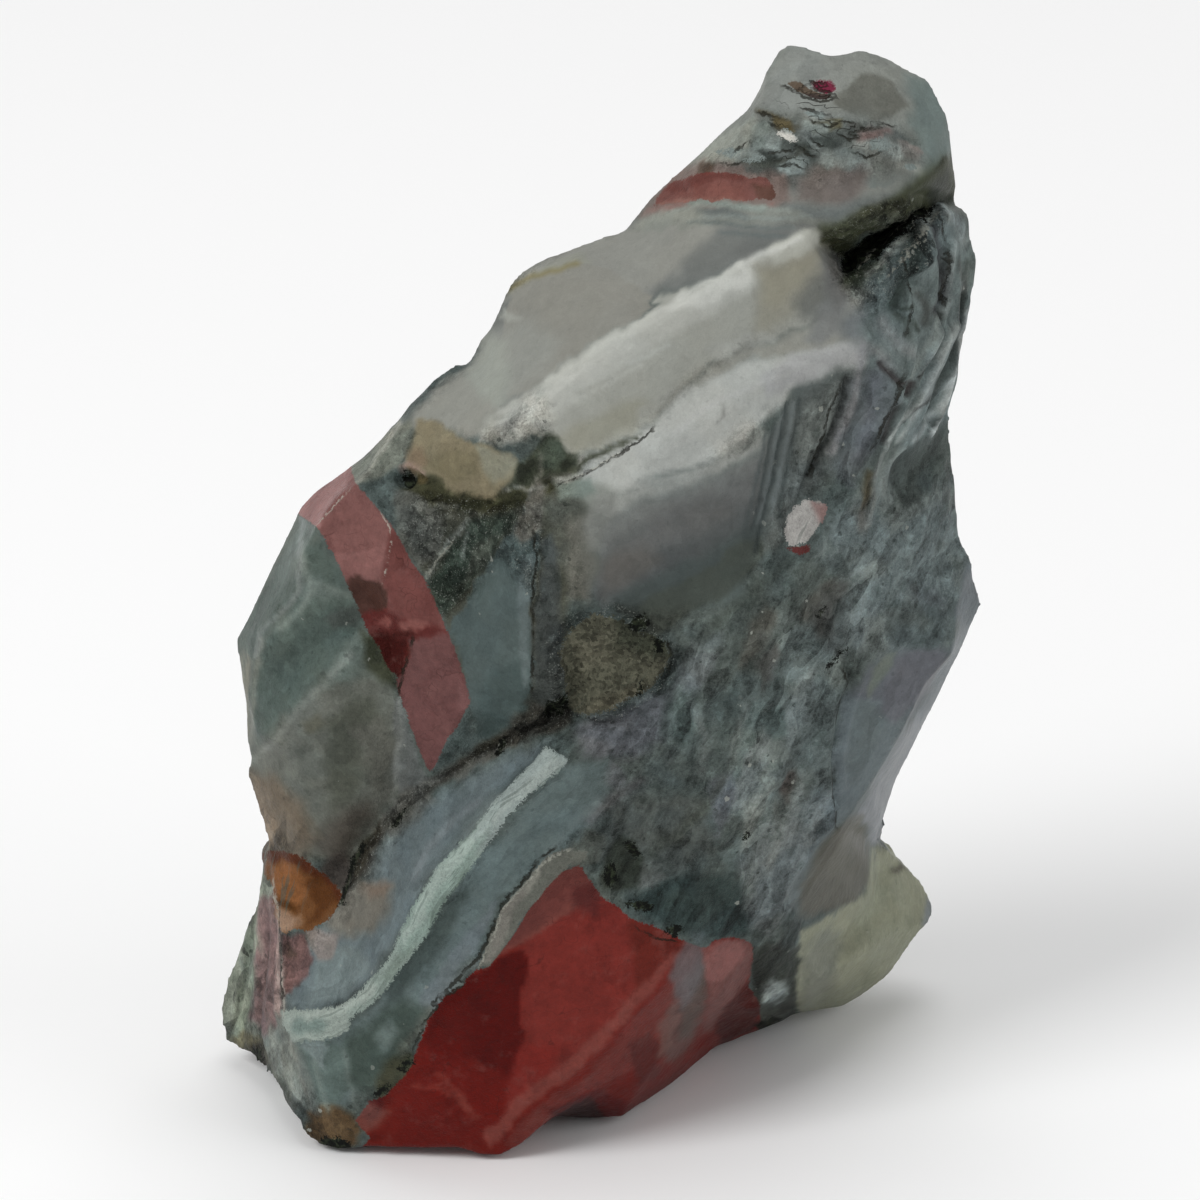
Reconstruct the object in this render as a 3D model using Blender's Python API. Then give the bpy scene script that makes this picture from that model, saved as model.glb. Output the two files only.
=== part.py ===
"""A rough chunk of bloodstone that stands on a small flat spot. One solid.

The stone is drawn as it is seen from in front and a little above. A drawn point is (x, h, depth) in
millimetres: x to the right of the drawing's middle line, h up the drawing from the stone's lowest
point, and depth how far the point lies behind the upright plane through that line. The back isn't
seen from there, so its points are plain (x, y, z) places, z up from the ground. When the shape is
done, the origin is moved to the middle of the flat foot.
"""

import math

import bmesh
import bpy
import numpy as np
from mathutils import Vector
from mathutils.geometry import delaunay_2d_cdt

MM = 0.001

# The line of sight that the drawing is made on.
DRAWN_HEIGHT = 111.4
VIEW_ELEVATION = math.radians(22.0)
VIEW_DISTANCE = 600.0
AXIS_DRAWN_HEIGHT = DRAWN_HEIGHT / 2
AXIS_HEIGHT = 56.2

# The middle of the flat foot, as a place on the ground.
FOOT_MIDDLE = (-6.0, 9.0, 0.0)

# How fine the stone is worked, and how many triangles are kept.
WORKING_EDGE = 0.75
KEPT_TRIANGLES = 9400

# How far the back's first points lie within the outline, and behind it.
SHOULDER_INSET = 2.4
SHOULDER_DEPTH = 3.0

# The stone's outline on the drawing, clockwise from the crown's left corner.
CROWN_EDGE = [
    (18.7, 111.4, 9), (20.3, 111.0, 9), (23.0, 110.1, 8), (24.8, 110.3, 9), (25.8, 110.7, 10),
    (27.2, 110.4, 10), (29.0, 109.7, 11), (30.5, 108.8, 11), (32.8, 107.8, 11), (34.0, 105.7, 10),
    (34.9, 103.9, 9), (35.1, 101.7, 8), (35.3, 99.7, 8), (35.7, 96.7, 9), (35.5, 95.2, 9),
]
RIBBED_EDGE = [
    (36.6, 94.5, 8), (36.9, 92.2, 7), (37.7, 89.9, 7), (37.6, 88.2, 7), (37.0, 85.2, 7),
    (36.0, 80.7, 7), (35.8, 77.7, 7), (34.9, 74.7, 7), (34.9, 71.7, 6), (35.3, 67.9, 6),
    (35.6, 64.2, 6), (35.9, 62.2, 6), (36.6, 60.5, 6), (37.1, 59.7, 6),
]
RIGHT_FACET_EDGE = [
    (37.4, 57.7, 7), (38.2, 55.4, 8), (37.5, 53.9, 8), (36.7, 52.1, 9), (35.5, 49.5, 11),
    (32.5, 43.7, 14), (31.2, 40.9, 15), (29.5, 37.7, 17), (28.5, 34.5, 18), (27.4, 31.7, 19),
]
LUMP_EDGE = [
    (30.0, 29.7, 25), (32.1, 27.5, 27), (32.9, 26.0, 27), (33.5, 24.8, 26),
    (33.0, 23.7, 25), (31.8, 22.5, 24), (30.5, 20.7, 24), (29.0, 18.5, 23), (28.0, 17.6, 22),
    (26.2, 16.2, 22), (24.2, 15.0, 21), (22.0, 14.7, 20), (19.3, 14.3, 18), (18.0, 13.5, 17),
]
LOWER_EDGE = [
    (14.5, 12.2, 14), (11.5, 11.0, 10), (10.0, 9.7, 8), (7.0, 7.2, 3), (4.0, 5.2, -2),
    (2.2, 3.9, -5), (0.0, 3.9, -4.6), (-2.5, 3.9, -4.8), (-4.4, 4.1, -6), (-6.0, 3.0, -13),
    (-8.0, 1.2, -13), (-10.0, 0.1, -13), (-12.0, 0.2, -13), (-14.2, 0.9, -13),
    (-18.5, 0.9, -12.5), (-23.0, 1.0, -12), (-26.5, 0.7, -11.5), (-28.0, 0.9, -11),
]
LAYERED_EDGE = [
    (-29.5, 2.2, -10), (-30.3, 4.0, -9), (-31.5, 6.2, -6), (-33.0, 8.1, -2), (-34.2, 9.2, 3),
    (-34.9, 10.3, 6), (-36.2, 10.8, 8), (-37.9, 11.9, 10),
    (-38.1, 14.7, 11), (-37.5, 17.7, 11), (-36.5, 20.7, 10), (-35.5, 23.2, 9), (-34.2, 25.7, 7),
    (-33.8, 27.7, 6), (-33.5, 30.2, 5), (-33.0, 31.4, 3),
]
LEFT_EDGE = [
    (-33.8, 34.2, 2), (-35.3, 38.2, 3), (-35.0, 40.0, 3), (-35.3, 42.2, 3),
    (-35.4, 45.7, 4), (-35.9, 48.7, 4), (-36.4, 51.7, 5), (-35.7, 52.9, 5), (-33.5, 57.7, 5),
    (-31.0, 62.7, 5), (-30.0, 64.9, 5), (-28.3, 66.7, 5), (-25.5, 68.6, 5), (-23.5, 70.1, 5),
]
SHOULDER_EDGE = [
    (-20.0, 73.7, 4), (-18.0, 75.9, 4), (-16.0, 78.1, 4), (-14.5, 79.5, 4),
    (-13.1, 79.4, 3), (-12.5, 80.7, 4), (-12.0, 81.8, 4), (-11.1, 82.8, 4), (-10.0, 85.2, 4),
    (-9.5, 86.4, 4), (-8.7, 87.6, 5), (-7.8, 88.5, 5), (-6.0, 89.5, 5), (-3.0, 90.7, 6),
    (-0.5, 91.7, 6), (0.4, 92.1, 6), (2.4, 92.6, 6), (3.3, 93.8, 7), (5.0, 95.9, 7),
    (7.0, 97.7, 8), (10.0, 100.4, 8), (12.5, 102.9, 8), (14.8, 104.7, 8), (16.0, 106.7, 9),
    (16.8, 108.9, 9), (17.9, 110.7, 9),
]
OUTLINE = (
    CROWN_EDGE + RIBBED_EDGE + RIGHT_FACET_EDGE + LUMP_EDGE + LOWER_EDGE + LAYERED_EDGE
    + LEFT_EDGE + SHOULDER_EDGE
)

# Crests, arrises and grooves of the front, each a line of drawn points. Lines that meet share a point.
FRONT_LINES = {
    "shoulder arris": [
        (-16.0, 78.1, 4), (-18.2, 75.5, 1), (-20.8, 71.7, -1), (-23.5, 68.5, -2), (-26.0, 66.2, -3),
        (-28.2, 63.3, -3.5), (-29.7, 60.2, -3.5), (-30.0, 57.2, -4), (-32.5, 54.5, -2.5),
        (-33.8, 52.9, -1.5), (-34.4, 49.7, -1.5), (-35.0, 45.7, -1), (-34.4, 42.7, -1),
        (-35.0, 40.0, 3),
    ],
    "left face crest": [
        (-35.0, 40.0, 3), (-33.0, 41.9, -4), (-30.5, 44.9, -6), (-27.8, 48.2, -7), (-25.5, 50.7, -7),
        (-22.5, 52.7, -6.5),
    ],
    "red scar arris": [
        (-26.0, 66.2, -3), (-23.8, 67.5, -4.5), (-21.0, 64.2, -6.5), (-20.8, 62.2, -7.2),
        (-21.2, 60.2, -7.4), (-22.0, 58.0, -7.2), (-24.8, 57.9, -5.5),
    ],
    "red socket": [
        (-24.8, 57.9, -5.5), (-25.2, 56.0, -5), (-23.8, 54.2, -5.2), (-22.0, 53.9, -6.6),
        (-21.2, 55.7, -8.2), (-22.0, 58.0, -7.2),
    ],
    "red lower facet": [
        (-18.6, 51.7, -9.8), (-20.3, 48.5, -8), (-19.8, 45.7, -8.2), (-18.5, 42.2, -8.6),
        (-16.8, 39.2, -8.6), (-15.3, 41.2, -9.6), (-13.1, 44.9, -11), (-13.6, 48.5, -11.4),
        (-15.5, 52.1, -11), (-18.6, 51.7, -9.8),
    ],
    "blue facet left": [
        (-15.5, 52.1, -11), (-14.8, 53.4, -11), (-12.5, 54.8, -11.2), (-10.0, 59.7, -11.6),
        (-8.0, 64.0, -12),
    ],
    "blue facet right": [
        (-8.0, 64.0, -12), (-6.2, 62.4, -14), (-6.8, 57.7, -14.6), (-7.0, 51.7, -15),
        (-6.7, 47.7, -14.6),
        (-8.5, 43.7, -12.5), (-9.7, 41.6, -9.5),
    ],
    "valley": [
        (-33.0, 31.4, 3), (-30.8, 28.2, -1.5), (-27.5, 27.4, -3), (-25.0, 29.2, -4.2),
        (-23.5, 31.7, -5),
        (-20.0, 35.7, -6.5), (-16.0, 37.5, -7.5), (-13.0, 39.5, -8.5), (-9.7, 41.6, -9.5),
        (-5.5, 44.2, -10.5), (-3.2, 44.6, -11.4),
    ],
    "bench crest": [
        (-31.5, 13.5, -6), (-30.0, 13.4, -8.5), (-27.5, 13.6, -11), (-24.8, 15.2, -13),
        (-21.5, 18.9, -15), (-18.5, 23.7, -16.4), (-15.3, 28.2, -17.4), (-11.0, 33.2, -17.8),
        (-7.0, 37.2, -17.4), (-4.0, 40.0, -16.6), (0.0, 42.2, -15),
    ],
    "bench ledge": [
        (-20.5, 9.2, -14.3), (-18.5, 10.7, -14.8), (-16.8, 14.5, -15.8), (-15.5, 16.7, -16),
        (-12.0, 19.2, -16.2), (-10.8, 23.2, -16.3), (-9.5, 25.4, -16.2), (-6.5, 28.7, -15.8),
        (-3.8, 30.4, -15), (-1.5, 30.7, -14.3),
    ],
    "red top": [
        (-1.5, 30.7, -14.3), (0.5, 27.0, -13.4), (3.0, 24.0, -12.8), (6.0, 22.2, -12), (9.0, 21.2, -11),
    ],
    "red crest": [
        (9.0, 21.2, -11), (6.0, 16.7, -12.6), (2.0, 12.7, -13.6), (-2.0, 9.2, -14.2),
        (-5.5, 5.9, -14.2),
        (-8.5, 3.2, -13.8), (-10.0, 0.1, -13),
    ],
    "underside arris": [
        (2.2, 3.9, -5), (0.5, 6.4, -9.4), (-0.5, 6.7, -10.8), (-2.5, 5.7, -12.4), (-4.5, 4.7, -13.2),
        (-6.0, 3.0, -13),
    ],
    "left corner": [
        (-33.0, 31.4, 3), (-32.5, 28.0, 0.5), (-32.2, 25.7, -1), (-31.8, 20.7, -3), (-31.6, 15.7, -5),
        (-31.5, 13.5, -6), (-30.8, 9.7, -7.5), (-30.1, 5.7, -8.7), (-29.5, 2.2, -10),
    ],
    "right arris": [
        (37.1, 59.7, 6), (35.9, 55.9, 2.6), (35.2, 50.4, 1), (32.5, 47.4, 0), (30.0, 42.2, -1),
        (27.0, 37.2, -2), (24.0, 32.9, -3), (20.0, 27.2, -4), (17.5, 23.2, -4.4), (15.0, 20.7, -4.8),
        (9.0, 21.2, -11),
    ],
    "right facet foot": [
        (27.4, 31.7, 19), (26.7, 28.7, 15), (25.8, 25.2, 11), (22.5, 22.2, 6), (20.0, 20.2, 3),
        (19.3, 16.4, 6), (18.0, 13.5, 17),
    ],
    "lump root": [(27.4, 31.7, 19), (27.9, 28.5, 21), (27.3, 25.0, 18), (23.6, 21.2, 11),
        (20.0, 20.2, 3)],
    "crevice upper lip": [
        (22.0, 92.7, -4.6), (25.0, 93.2, -4.2), (27.5, 94.5, -3.2), (30.0, 95.5, -1.4), (32.5, 97.2, 1),
        (34.5, 99.4, 4), (35.3, 99.7, 8),
    ],
    "crevice floor": [
        (22.0, 92.7, -4.6), (24.2, 89.9, 3.5), (26.0, 91.7, 5), (29.0, 93.2, 6.5), (31.5, 94.5, 7.5),
        (34.0, 95.4, 8.4), (35.5, 95.2, 9),
    ],
    "crevice lower lip": [
        (24.2, 89.9, 3.5), (24.0, 87.5, -3.4), (26.2, 87.2, -3.6), (28.5, 88.7, -3), (30.5, 90.2, -1.8),
        (32.5, 92.2, 0.4), (34.5, 94.2, 3), (36.6, 94.5, 8),
    ],
    "crown foot": [(5.0, 95.9, 7), (10.0, 95.4, 1), (15.0, 95.4, -2.2), (19.0, 94.7, -4.4),
        (22.0, 92.7, -4.6)],
    "crown ledge": [
        (10.0, 100.4, 8), (12.0, 99.6, 3.4), (15.5, 100.2, 0.6), (19.0, 99.2, -1.4), (23.0, 99.0, -2.2),
    ],
    "crown left arris": [(16.8, 108.9, 9), (16.6, 106.4, 5.4), (14.6, 103.0, 4.4), (12.0, 99.6, 3.4)],
    "crown right arris": [(32.8, 107.8, 11), (30.6, 104.6, 4.4), (30.4, 101.0, 1.6),
        (31.5, 98.4, 0.4), (32.5, 97.2, 1)],
    "dark wedge": [(30.0, 95.5, -1.4), (31.5, 98.4, 0.4), (33.2, 99.8, 2.2), (34.9, 103.9, 9)],
    "left lower arris": [(-19.8, 45.7, -8.2), (-20.4, 41.5, -7.6), (-20.6, 38.0, -6.9),
        (-20.0, 35.7, -6.5)],
    "shoulder crest": [(-8.7, 87.6, 5), (-5.5, 88.7, 2.4), (-2.3, 89.5, 1.4), (2.0, 88.2, -1.4),
        (5.5, 85.7, -5)],
    "white crest": [
        (22.0, 92.7, -4.6), (20.5, 91.9, -6.6), (16.0, 89.6, -8), (10.0, 86.4, -9.4),
        (4.0, 82.8, -10.5),
        (-1.0, 79.2, -11), (-6.0, 75.2, -11.2), (-9.5, 72.7, -10.6), (-14.0, 69.5, -8.4),
    ],
    "white trough": [
        (24.0, 87.5, -3.4), (20.0, 82.7, -6.4), (12.0, 79.2, -9), (5.0, 73.2, -11.6),
        (-2.0, 69.2, -12.2),
        (-6.0, 67.5, -11.6),
    ],
    "second crest": [
        (27.5, 81.7, -4.6), (18.0, 78.4, -9.4), (12.0, 74.9, -11.6), (6.0, 70.7, -13.2),
        (1.0, 65.7, -14.2),
        (-2.0, 59.7, -14.8), (-2.5, 54.0, -14.4),
    ],
}

# Lone points that round out the faces between those lines.
FRONT_POINTS = [
    # Crown
    (20.0, 102.7, 1.4), (20.0, 107.0, 4.2), (25.0, 104.7, 2.6), (28.5, 100.7, 0.4), (9.0, 97.6, 3.6),
    (24.0, 97.0, -3), (17.0, 97.4, -1.2), (29.4, 107.6, 7.6), (33.0, 102.4, 4.6), (14.6, 101.6, 3.6),
    # Shoulder and white bands
    (9.5, 91.5, -3.4), (16.0, 92.2, -5), (0.0, 85.2, -4.6), (-5.0, 84.2, -2.6), (-7.5, 79.2, -5.4),
    (-13.0, 76.2, -3), (-16.0, 72.2, -4.6), (8.0, 81.2, -10.4), (15.0, 84.0, -8.4), (1.0, 75.2, -11.8),
    # Broad face
    (10.0, 65.7, -13), (5.0, 58.2, -14), (16.0, 70.7, -10.4), (18.0, 60.7, -10.2), (12.0, 50.7, -12.6),
    (25.0, 65.7, -6), (30.0, 72.7, -2), (33.0, 66.0, 1.6), (30.0, 55.7, -2.4), (25.0, 50.7, -6),
    (20.0, 40.7, -8), (14.0, 35.7, -10.4), (8.0, 39.7, -12.8), (4.0, 35.7, -12.6), (10.0, 27.7, -10.2),
    (16.0, 28.7, -7.6), (30.5, 84.7, -1), (33.5, 80.0, 2), (31.0, 88.0, -0.4), (33.4, 88.5, 2),
    (0.5, 49.5, -13.2), (-3.0, 49.7, -12.6),
    # Red band and the face left of it
    (-22.5, 62.2, -5.6), (-23.0, 56.0, -5.2), (-21.0, 50.7, -6), (-17.0, 46.5, -9.9),
    (-18.0, 57.0, -9.4),
    (-31.0, 49.7, -3.4), (-30.0, 39.7, -5), (-25.0, 43.7, -7.2), (-23.0, 39.0, -7.4), (-26.0, 32.7, -6),
    (-30.0, 32.7, -3.6), (-32.5, 35.7, -1.4), (-27.0, 55.7, -5), (-26.8, 61.0, -4),
    # Hollow right of the red band
    (-16.0, 59.7, -7.2), (-13.0, 62.7, -8), (-12.0, 57.2, -8.8), (-15.0, 65.7, -7), (-10.0, 66.4, -9.6),
    (-10.5, 47.0, -12.8),
    # Below the valley
    (-25.0, 24.7, -6.6), (-20.0, 30.7, -10), (-15.0, 34.0, -12), (-9.0, 39.4, -12.6),
    (-29.0, 21.0, -5.4),
    (-27.5, 17.7, -8.2), (-22.0, 12.0, -14), (-27.0, 7.7, -11.6), (-13.0, 24.0, -17),
    (-7.0, 32.4, -16.8),
    # Red face
    (-4.0, 22.7, -14.6), (-11.0, 12.7, -15.4), (-17.0, 5.7, -14.4), (-23.0, 5.0, -12.8),
    (-3.0, 15.7, -14.8),
    # Right of the red crest
    (12.0, 16.2, -6), (9.0, 13.2, -3.5), (5.0, 9.0, -7), (1.5, 9.0, -11.4), (14.0, 15.0, 2),
    (2.8, 5.6, -6.4),
    # Right facet and lump
    (31.4, 45.0, 5), (27.6, 34.4, 6), (23.5, 28.0, 3), (36.4, 53.0, 5),
    (29.4, 26.5, 21), (30.0, 23.0, 20), (26.0, 20.5, 13), (22.4, 18.2, 9),
    # Layered side
    (-34.5, 19.7, 4), (-33.8, 14.7, 2), (-35.5, 15.7, 6.4), (-33.8, 11.7, 1), (-32.0, 8.0, -4),
    (-33.4, 24.0, 3),
]

# Crests of the back, each a line of places.
BACK_LINES = {
    "spine": [
        (24.0, 15.0, 102.0), (22.0, 18.5, 86.0), (14.0, 22.5, 68.0), (6.0, 25.0, 49.0),
        (3.0, 27.5, 30.0),
        (7.0, 27.5, 12.0), (6.0, 25.0, -0.5),
    ],
    "left crest": [
        (14.0, 22.5, 68.0), (-3.0, 20.0, 76.0), (-13.0, 18.0, 62.0), (-22.0, 18.0, 45.0),
        (-24.0, 20.0, 28.0),
        (-22.0, 21.0, 10.0), (-20.0, 19.0, -0.5),
    ],
    "cross crest": [(-24.0, 20.0, 28.0), (-10.0, 21.5, 31.0), (3.0, 27.5, 30.0)],
    "right crest": [(22.0, 18.5, 86.0), (31.0, 17.5, 72.0), (31.0, 19.5, 56.0), (24.0, 23.0, 41.0),
        (6.0, 25.0, 49.0)],
    "lump crest": [(24.0, 23.0, 41.0), (25.0, 28.5, 25.0), (22.0, 30.5, 13.0), (18.0, 28.0, -0.5)],
}
BACK_POINTS = [
    (31.0, 15.5, 95.0), (15.0, 13.5, 94.0), (5.0, 14.5, 86.0), (-8.0, 12.0, 78.0), (32.5, 15.0, 84.0),
    (-27.0, 13.0, 58.0), (-5.0, 17.5, 52.0), (-31.0, 14.0, 36.0), (-33.0, 15.5, 22.0),
    (-31.0, 15.5, 8.0),
    (14.0, 19.0, 30.0), (16.0, 20.5, 56.0), (-8.0, 19.0, 14.0), (33.5, 14.5, 62.0), (14.0, 26.0, 20.0),
    (28.5, 28.0, 17.0), (20.0, 15.0, 76.0),
]
FOOT = [
    (-26.5, -5.5, -0.5), (-15.0, -7.5, -0.5), (-11.0, -8.8, -0.5), (-8.0, -5.5, -0.5),
    (-5.0, 2.0, -0.5),
    (-1.0, 5.5, -0.5), (3.0, 4.5, -0.5), (8.0, 10.0, -0.5), (14.5, 18.5, -0.5), (20.0, 24.0, -0.5),
    (18.0, 28.0, -0.5), (6.0, 25.0, -0.5), (-7.0, 20.5, -0.5), (-20.0, 19.0, -0.5), (-30.0, 12.0, -0.5),
    (-31.5, 3.0, -0.5),
]

# Bands of broken, crumbly surface: a drawn line, how wide, and how rough.
ROUGH_BANDS = [
    ([(-25.0, 29.0), (-21.0, 34.5), (-15.0, 38.0), (-9.7, 41.6), (-4.0, 45.0)], 2.6, 1.0),
    ([(-19.0, 67.0), (-15.0, 64.0), (-9.5, 67.0), (-5.0, 70.5)], 3.4, 1.0),
    ([(-3.5, 51.0), (2.0, 50.0), (6.0, 47.5)], 4.0, 0.7),
    ([(12.0, 104.0), (19.0, 103.4), (28.0, 102.0)], 3.0, 0.8),
    ([(24.5, 88.5), (29.0, 90.5), (32.0, 93.0)], 2.0, 0.9),
    ([(1.5, 31.5), (9.0, 27.0), (15.0, 24.0)], 4.0, 0.8),
    ([(-28.0, 2.0), (-24.0, 6.0), (-20.0, 9.5), (-17.0, 12.0)], 2.2, 0.8),
    ([(12.0, 48.0), (22.0, 42.0), (18.0, 32.0)], 7.0, 0.45),
]

# Edges of ribs and layers: a drawn line, how far the lower ground to its right reaches, and its depth.
LEDGES = [
    ([(34.2, 92.4), (33.2, 86.7), (33.4, 83.2), (32.5, 79.7), (30.5, 76.2), (28.5, 72.7), (27.0, 68.7),
      (25.0, 64.7)], 2.4, -1.1),
    ([(35.8, 92.2), (35.7, 84.7), (35.5, 81.2), (34.5, 78.2), (32.5, 75.2), (31.0, 72.7),
    (29.0, 69.7)], 1.8, -0.8),
    ([(30.4, 87.7), (31.2, 82.7), (30.5, 79.7), (29.0, 75.7), (28.0, 72.7), (26.0, 69.7)], 2.0, -0.8),
    ([(26.5, 79.7), (25.0, 75.7), (23.5, 71.7), (21.5, 68.7), (20.5, 65.7), (17.0, 61.0)], 2.6, 0.8),
    ([(23.4, 77.7), (21.5, 72.7), (19.6, 68.7), (18.6, 63.7)], 2.0, 0.5),
    ([(-33.6, 29.7), (-34.5, 23.7), (-35.5, 19.7), (-36.0, 15.7), (-36.4, 11.6)], 1.6, 0.8),
    ([(-32.6, 27.7), (-33.2, 20.7), (-33.8, 15.7), (-34.0, 12.2), (-32.5, 8.2),
    (-30.0, 3.2)], 1.6, 0.8),
    ([(-35.0, 25.2), (-36.2, 20.7), (-37.2, 14.7)], 1.2, 0.6),
    ([(24.6, 52.0), (24.7, 47.7), (23.4, 45.2), (22.9, 41.2), (23.1, 36.7), (24.4, 32.4)], 3.0, -0.7),
    ([(-17.4, 14.4), (-12.4, 19.6), (-10.2, 25.2), (-6.8, 28.9), (-2.8, 31.4)], 2.4, -0.9),
    ([(-20.4, 63.9), (-19.0, 61.7), (-19.2, 59.0), (-22.0, 57.6)], 1.8, 0.5),
    ([(14.0, 31.9), (18.5, 38.0), (21.5, 44.0), (23.0, 52.0)], 3.0, 0.5),
    ([(8.5, 30.0), (11.0, 39.0), (16.0, 50.0), (18.0, 58.0)], 3.0, -0.45),
]

# Pits and shallow round scars: where they are drawn, how wide and how deep.
PITS = [
    (-19.5, 67.9, 1.1, 1.6), (31.0, 68.7, 2.6, 0.8), (2.2, 29.0, 2.2, 0.9), (6.5, 25.7, 3.0, 0.5),
    (-20.0, 9.9, 1.1, 0.9), (-4.5, 43.6, 1.5, 0.8), (21.5, 101.6, 1.0, 0.5), (21.5, 106.8, 1.6, 0.6),
]


def sight_axes():
    """The drawing's right and up directions, and the eye."""
    right = Vector((1, 0, 0))
    up = Vector((0, math.sin(VIEW_ELEVATION), math.cos(VIEW_ELEVATION)))
    back = Vector((0, -math.cos(VIEW_ELEVATION), math.sin(VIEW_ELEVATION)))
    aim = Vector((0, 0, AXIS_HEIGHT))
    return right, up, aim, aim + back * VIEW_DISTANCE


def place(x, h, depth):
    """The place of a drawn point: where its line of sight is depth behind the origin's plane."""
    right, up, aim, eye = sight_axes()
    drawn = aim + right * x + up * (h - AXIS_DRAWN_HEIGHT)
    sight = drawn - eye
    return eye + sight * ((depth - eye.y) / sight.y)


def drawn(point):
    """Where a place is seen on the drawing, as (x, h)."""
    right, up, aim, eye = sight_axes()
    sight = point - eye
    along = (aim - eye).normalized()
    sight *= VIEW_DISTANCE / sight.dot(along)
    offset = eye + sight - aim
    return Vector((offset.dot(right), offset.dot(up) + AXIS_DRAWN_HEIGHT))


def sheet(rim, lines, points):
    """The triangles of one side: rim, lines and points joined as they are seen on the drawing."""
    places = []
    index = {}

    def number(point):
        key = tuple(round(c, 3) for c in point)
        if key not in index:
            index[key] = len(places)
            places.append(point)
        return index[key]

    loop = [number(p) for p in rim]
    edges = [(a, b) for a, b in zip(loop, loop[1:] + loop[:1])]
    for line in lines:
        ends = [number(p) for p in line]
        edges += list(zip(ends, ends[1:]))
    for point in points:
        number(point)
    flat = [drawn(p) for p in places]
    found = delaunay_2d_cdt(flat, edges, [], 1, 1e-5, True)
    if len(found[0]) != len(places):
        crossed = [tuple(found[0][i]) for i, origin in enumerate(found[3]) if not origin]
        raise ValueError(f"two lines cross, or two points meet, near {crossed}")
    order = [origin[0] for origin in found[3]]
    faces = [[order[i] for i in face] for face in found[2]]
    outline = [flat[i] for i in loop]
    middles = [sum((flat[i] for i in face), Vector((0, 0))) / 3 for face in faces]
    return places, [face for face, middle in zip(faces, middles) if inside(middle, outline)]


def inside(point, outline):
    """Whether a drawn point lies within a closed line."""
    crossings = 0
    for a, b in zip(outline, outline[1:] + outline[:1]):
        if (a.y > point.y) != (b.y > point.y):
            crossings += point.x < a.x + (b.x - a.x) * (point.y - a.y) / (b.y - a.y)
    return crossings % 2 == 1


def shoulder_points(outline, foot):
    """Points a little within the outline and behind it, so that the back turns away from the rim."""
    flat = [Vector(p[:2]) for p in outline]
    foot_flat = [drawn(p) for p in foot]
    kept = []
    for i in range(0, len(flat), 2):
        before, after = flat[i - 3], flat[(i + 3) % len(flat)]
        inward = Vector((after.y - before.y, before.x - after.x)).normalized()
        spot = flat[i] + inward * SHOULDER_INSET
        clear = all((spot - other).length > SHOULDER_INSET * 0.8 for other in flat)
        if clear and inside(spot, flat) and not inside(spot, foot_flat):
            kept.append((spot.x, spot.y, outline[i][2] + SHOULDER_DEPTH))
    return kept


def build_cage():
    """The closed cage of flat facets, with 1 on the front's vertices in the layer front and 0 behind."""
    rim = [place(*p) for p in OUTLINE]
    front = sheet(rim, [[place(*p) for p in line] for line in FRONT_LINES.values()],
                  [place(*p) for p in FRONT_POINTS])
    foot = [Vector(p) for p in FOOT]
    shoulder = [place(*p) for p in shoulder_points(OUTLINE, foot)]
    back = sheet(rim, [[Vector(p) for p in line] for line in BACK_LINES.values()] + [foot + foot[:1]],
                 [Vector(p) for p in BACK_POINTS] + shoulder)
    mesh = bmesh.new()
    layer = mesh.verts.layers.float.new("front")
    shared = {}
    for (places, faces), side in ((front, 1.0), (back, 0.0)):
        verts = []
        for spot in places:
            key = tuple(round(c, 3) for c in spot)
            if key not in shared:
                shared[key] = mesh.verts.new(spot)
                shared[key][layer] = side
            verts.append(shared[key])
        for face in faces:
            mesh.faces.new([verts[i] for i in face])
    bmesh.ops.recalc_face_normals(mesh, faces=mesh.faces)
    return mesh


def working_mesh(cage):
    """The cage as one evenly meshed closed surface."""
    mesh = bpy.data.meshes.new("cage")
    cage.to_mesh(mesh)
    rough = bpy.data.objects.new("cage", mesh)
    bpy.context.scene.collection.objects.link(rough)
    remesh = rough.modifiers.new("even mesh", "REMESH")
    remesh.mode = "VOXEL"
    remesh.voxel_size = WORKING_EDGE
    evaluated = rough.evaluated_get(bpy.context.evaluated_depsgraph_get())
    even = bpy.data.meshes.new_from_object(evaluated)
    bpy.data.objects.remove(rough)
    return even


def points_of(mesh):
    """Where a mesh's vertices are, as an array."""
    flat = np.empty(len(mesh.vertices) * 3)
    mesh.vertices.foreach_get("co", flat)
    return flat.reshape(-1, 3)


def distance_to(points, line):
    """Each point's distance to a line of straight pieces."""
    nearest = np.full(len(points), np.inf)
    ends = np.array(line)
    for a, b in zip(ends, ends[1:]):
        along = b - a
        share = np.clip((points - a) @ along / (along @ along), 0, 1)
        nearest = np.minimum(nearest, np.linalg.norm(points - a - share[:, None] * along, axis=1))
    return nearest


def edges_of(mesh):
    """Which two vertices each edge joins, as an array."""
    flat = np.empty(len(mesh.edges) * 2, dtype=np.int64)
    mesh.edges.foreach_get("vertices", flat)
    return flat.reshape(-1, 2)


def neighbour_mean(values, edges):
    """The mean of each vertex's neighbours."""
    total = np.zeros_like(values)
    count = np.zeros(len(values))
    for a, b in (edges.T, edges.T[::-1]):
        np.add.at(total, a, values[b])
        np.add.at(count, a, 1)
    return total / count[:, None]


def soften(points, edges, freedom, rounds):
    """Rounds off what isn't an arris: each vertex moves toward its neighbours as far as it is free to."""
    for _ in range(rounds):
        points = points + (neighbour_mean(points, edges) - points) * freedom[:, None] * 0.5
    return points


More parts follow.
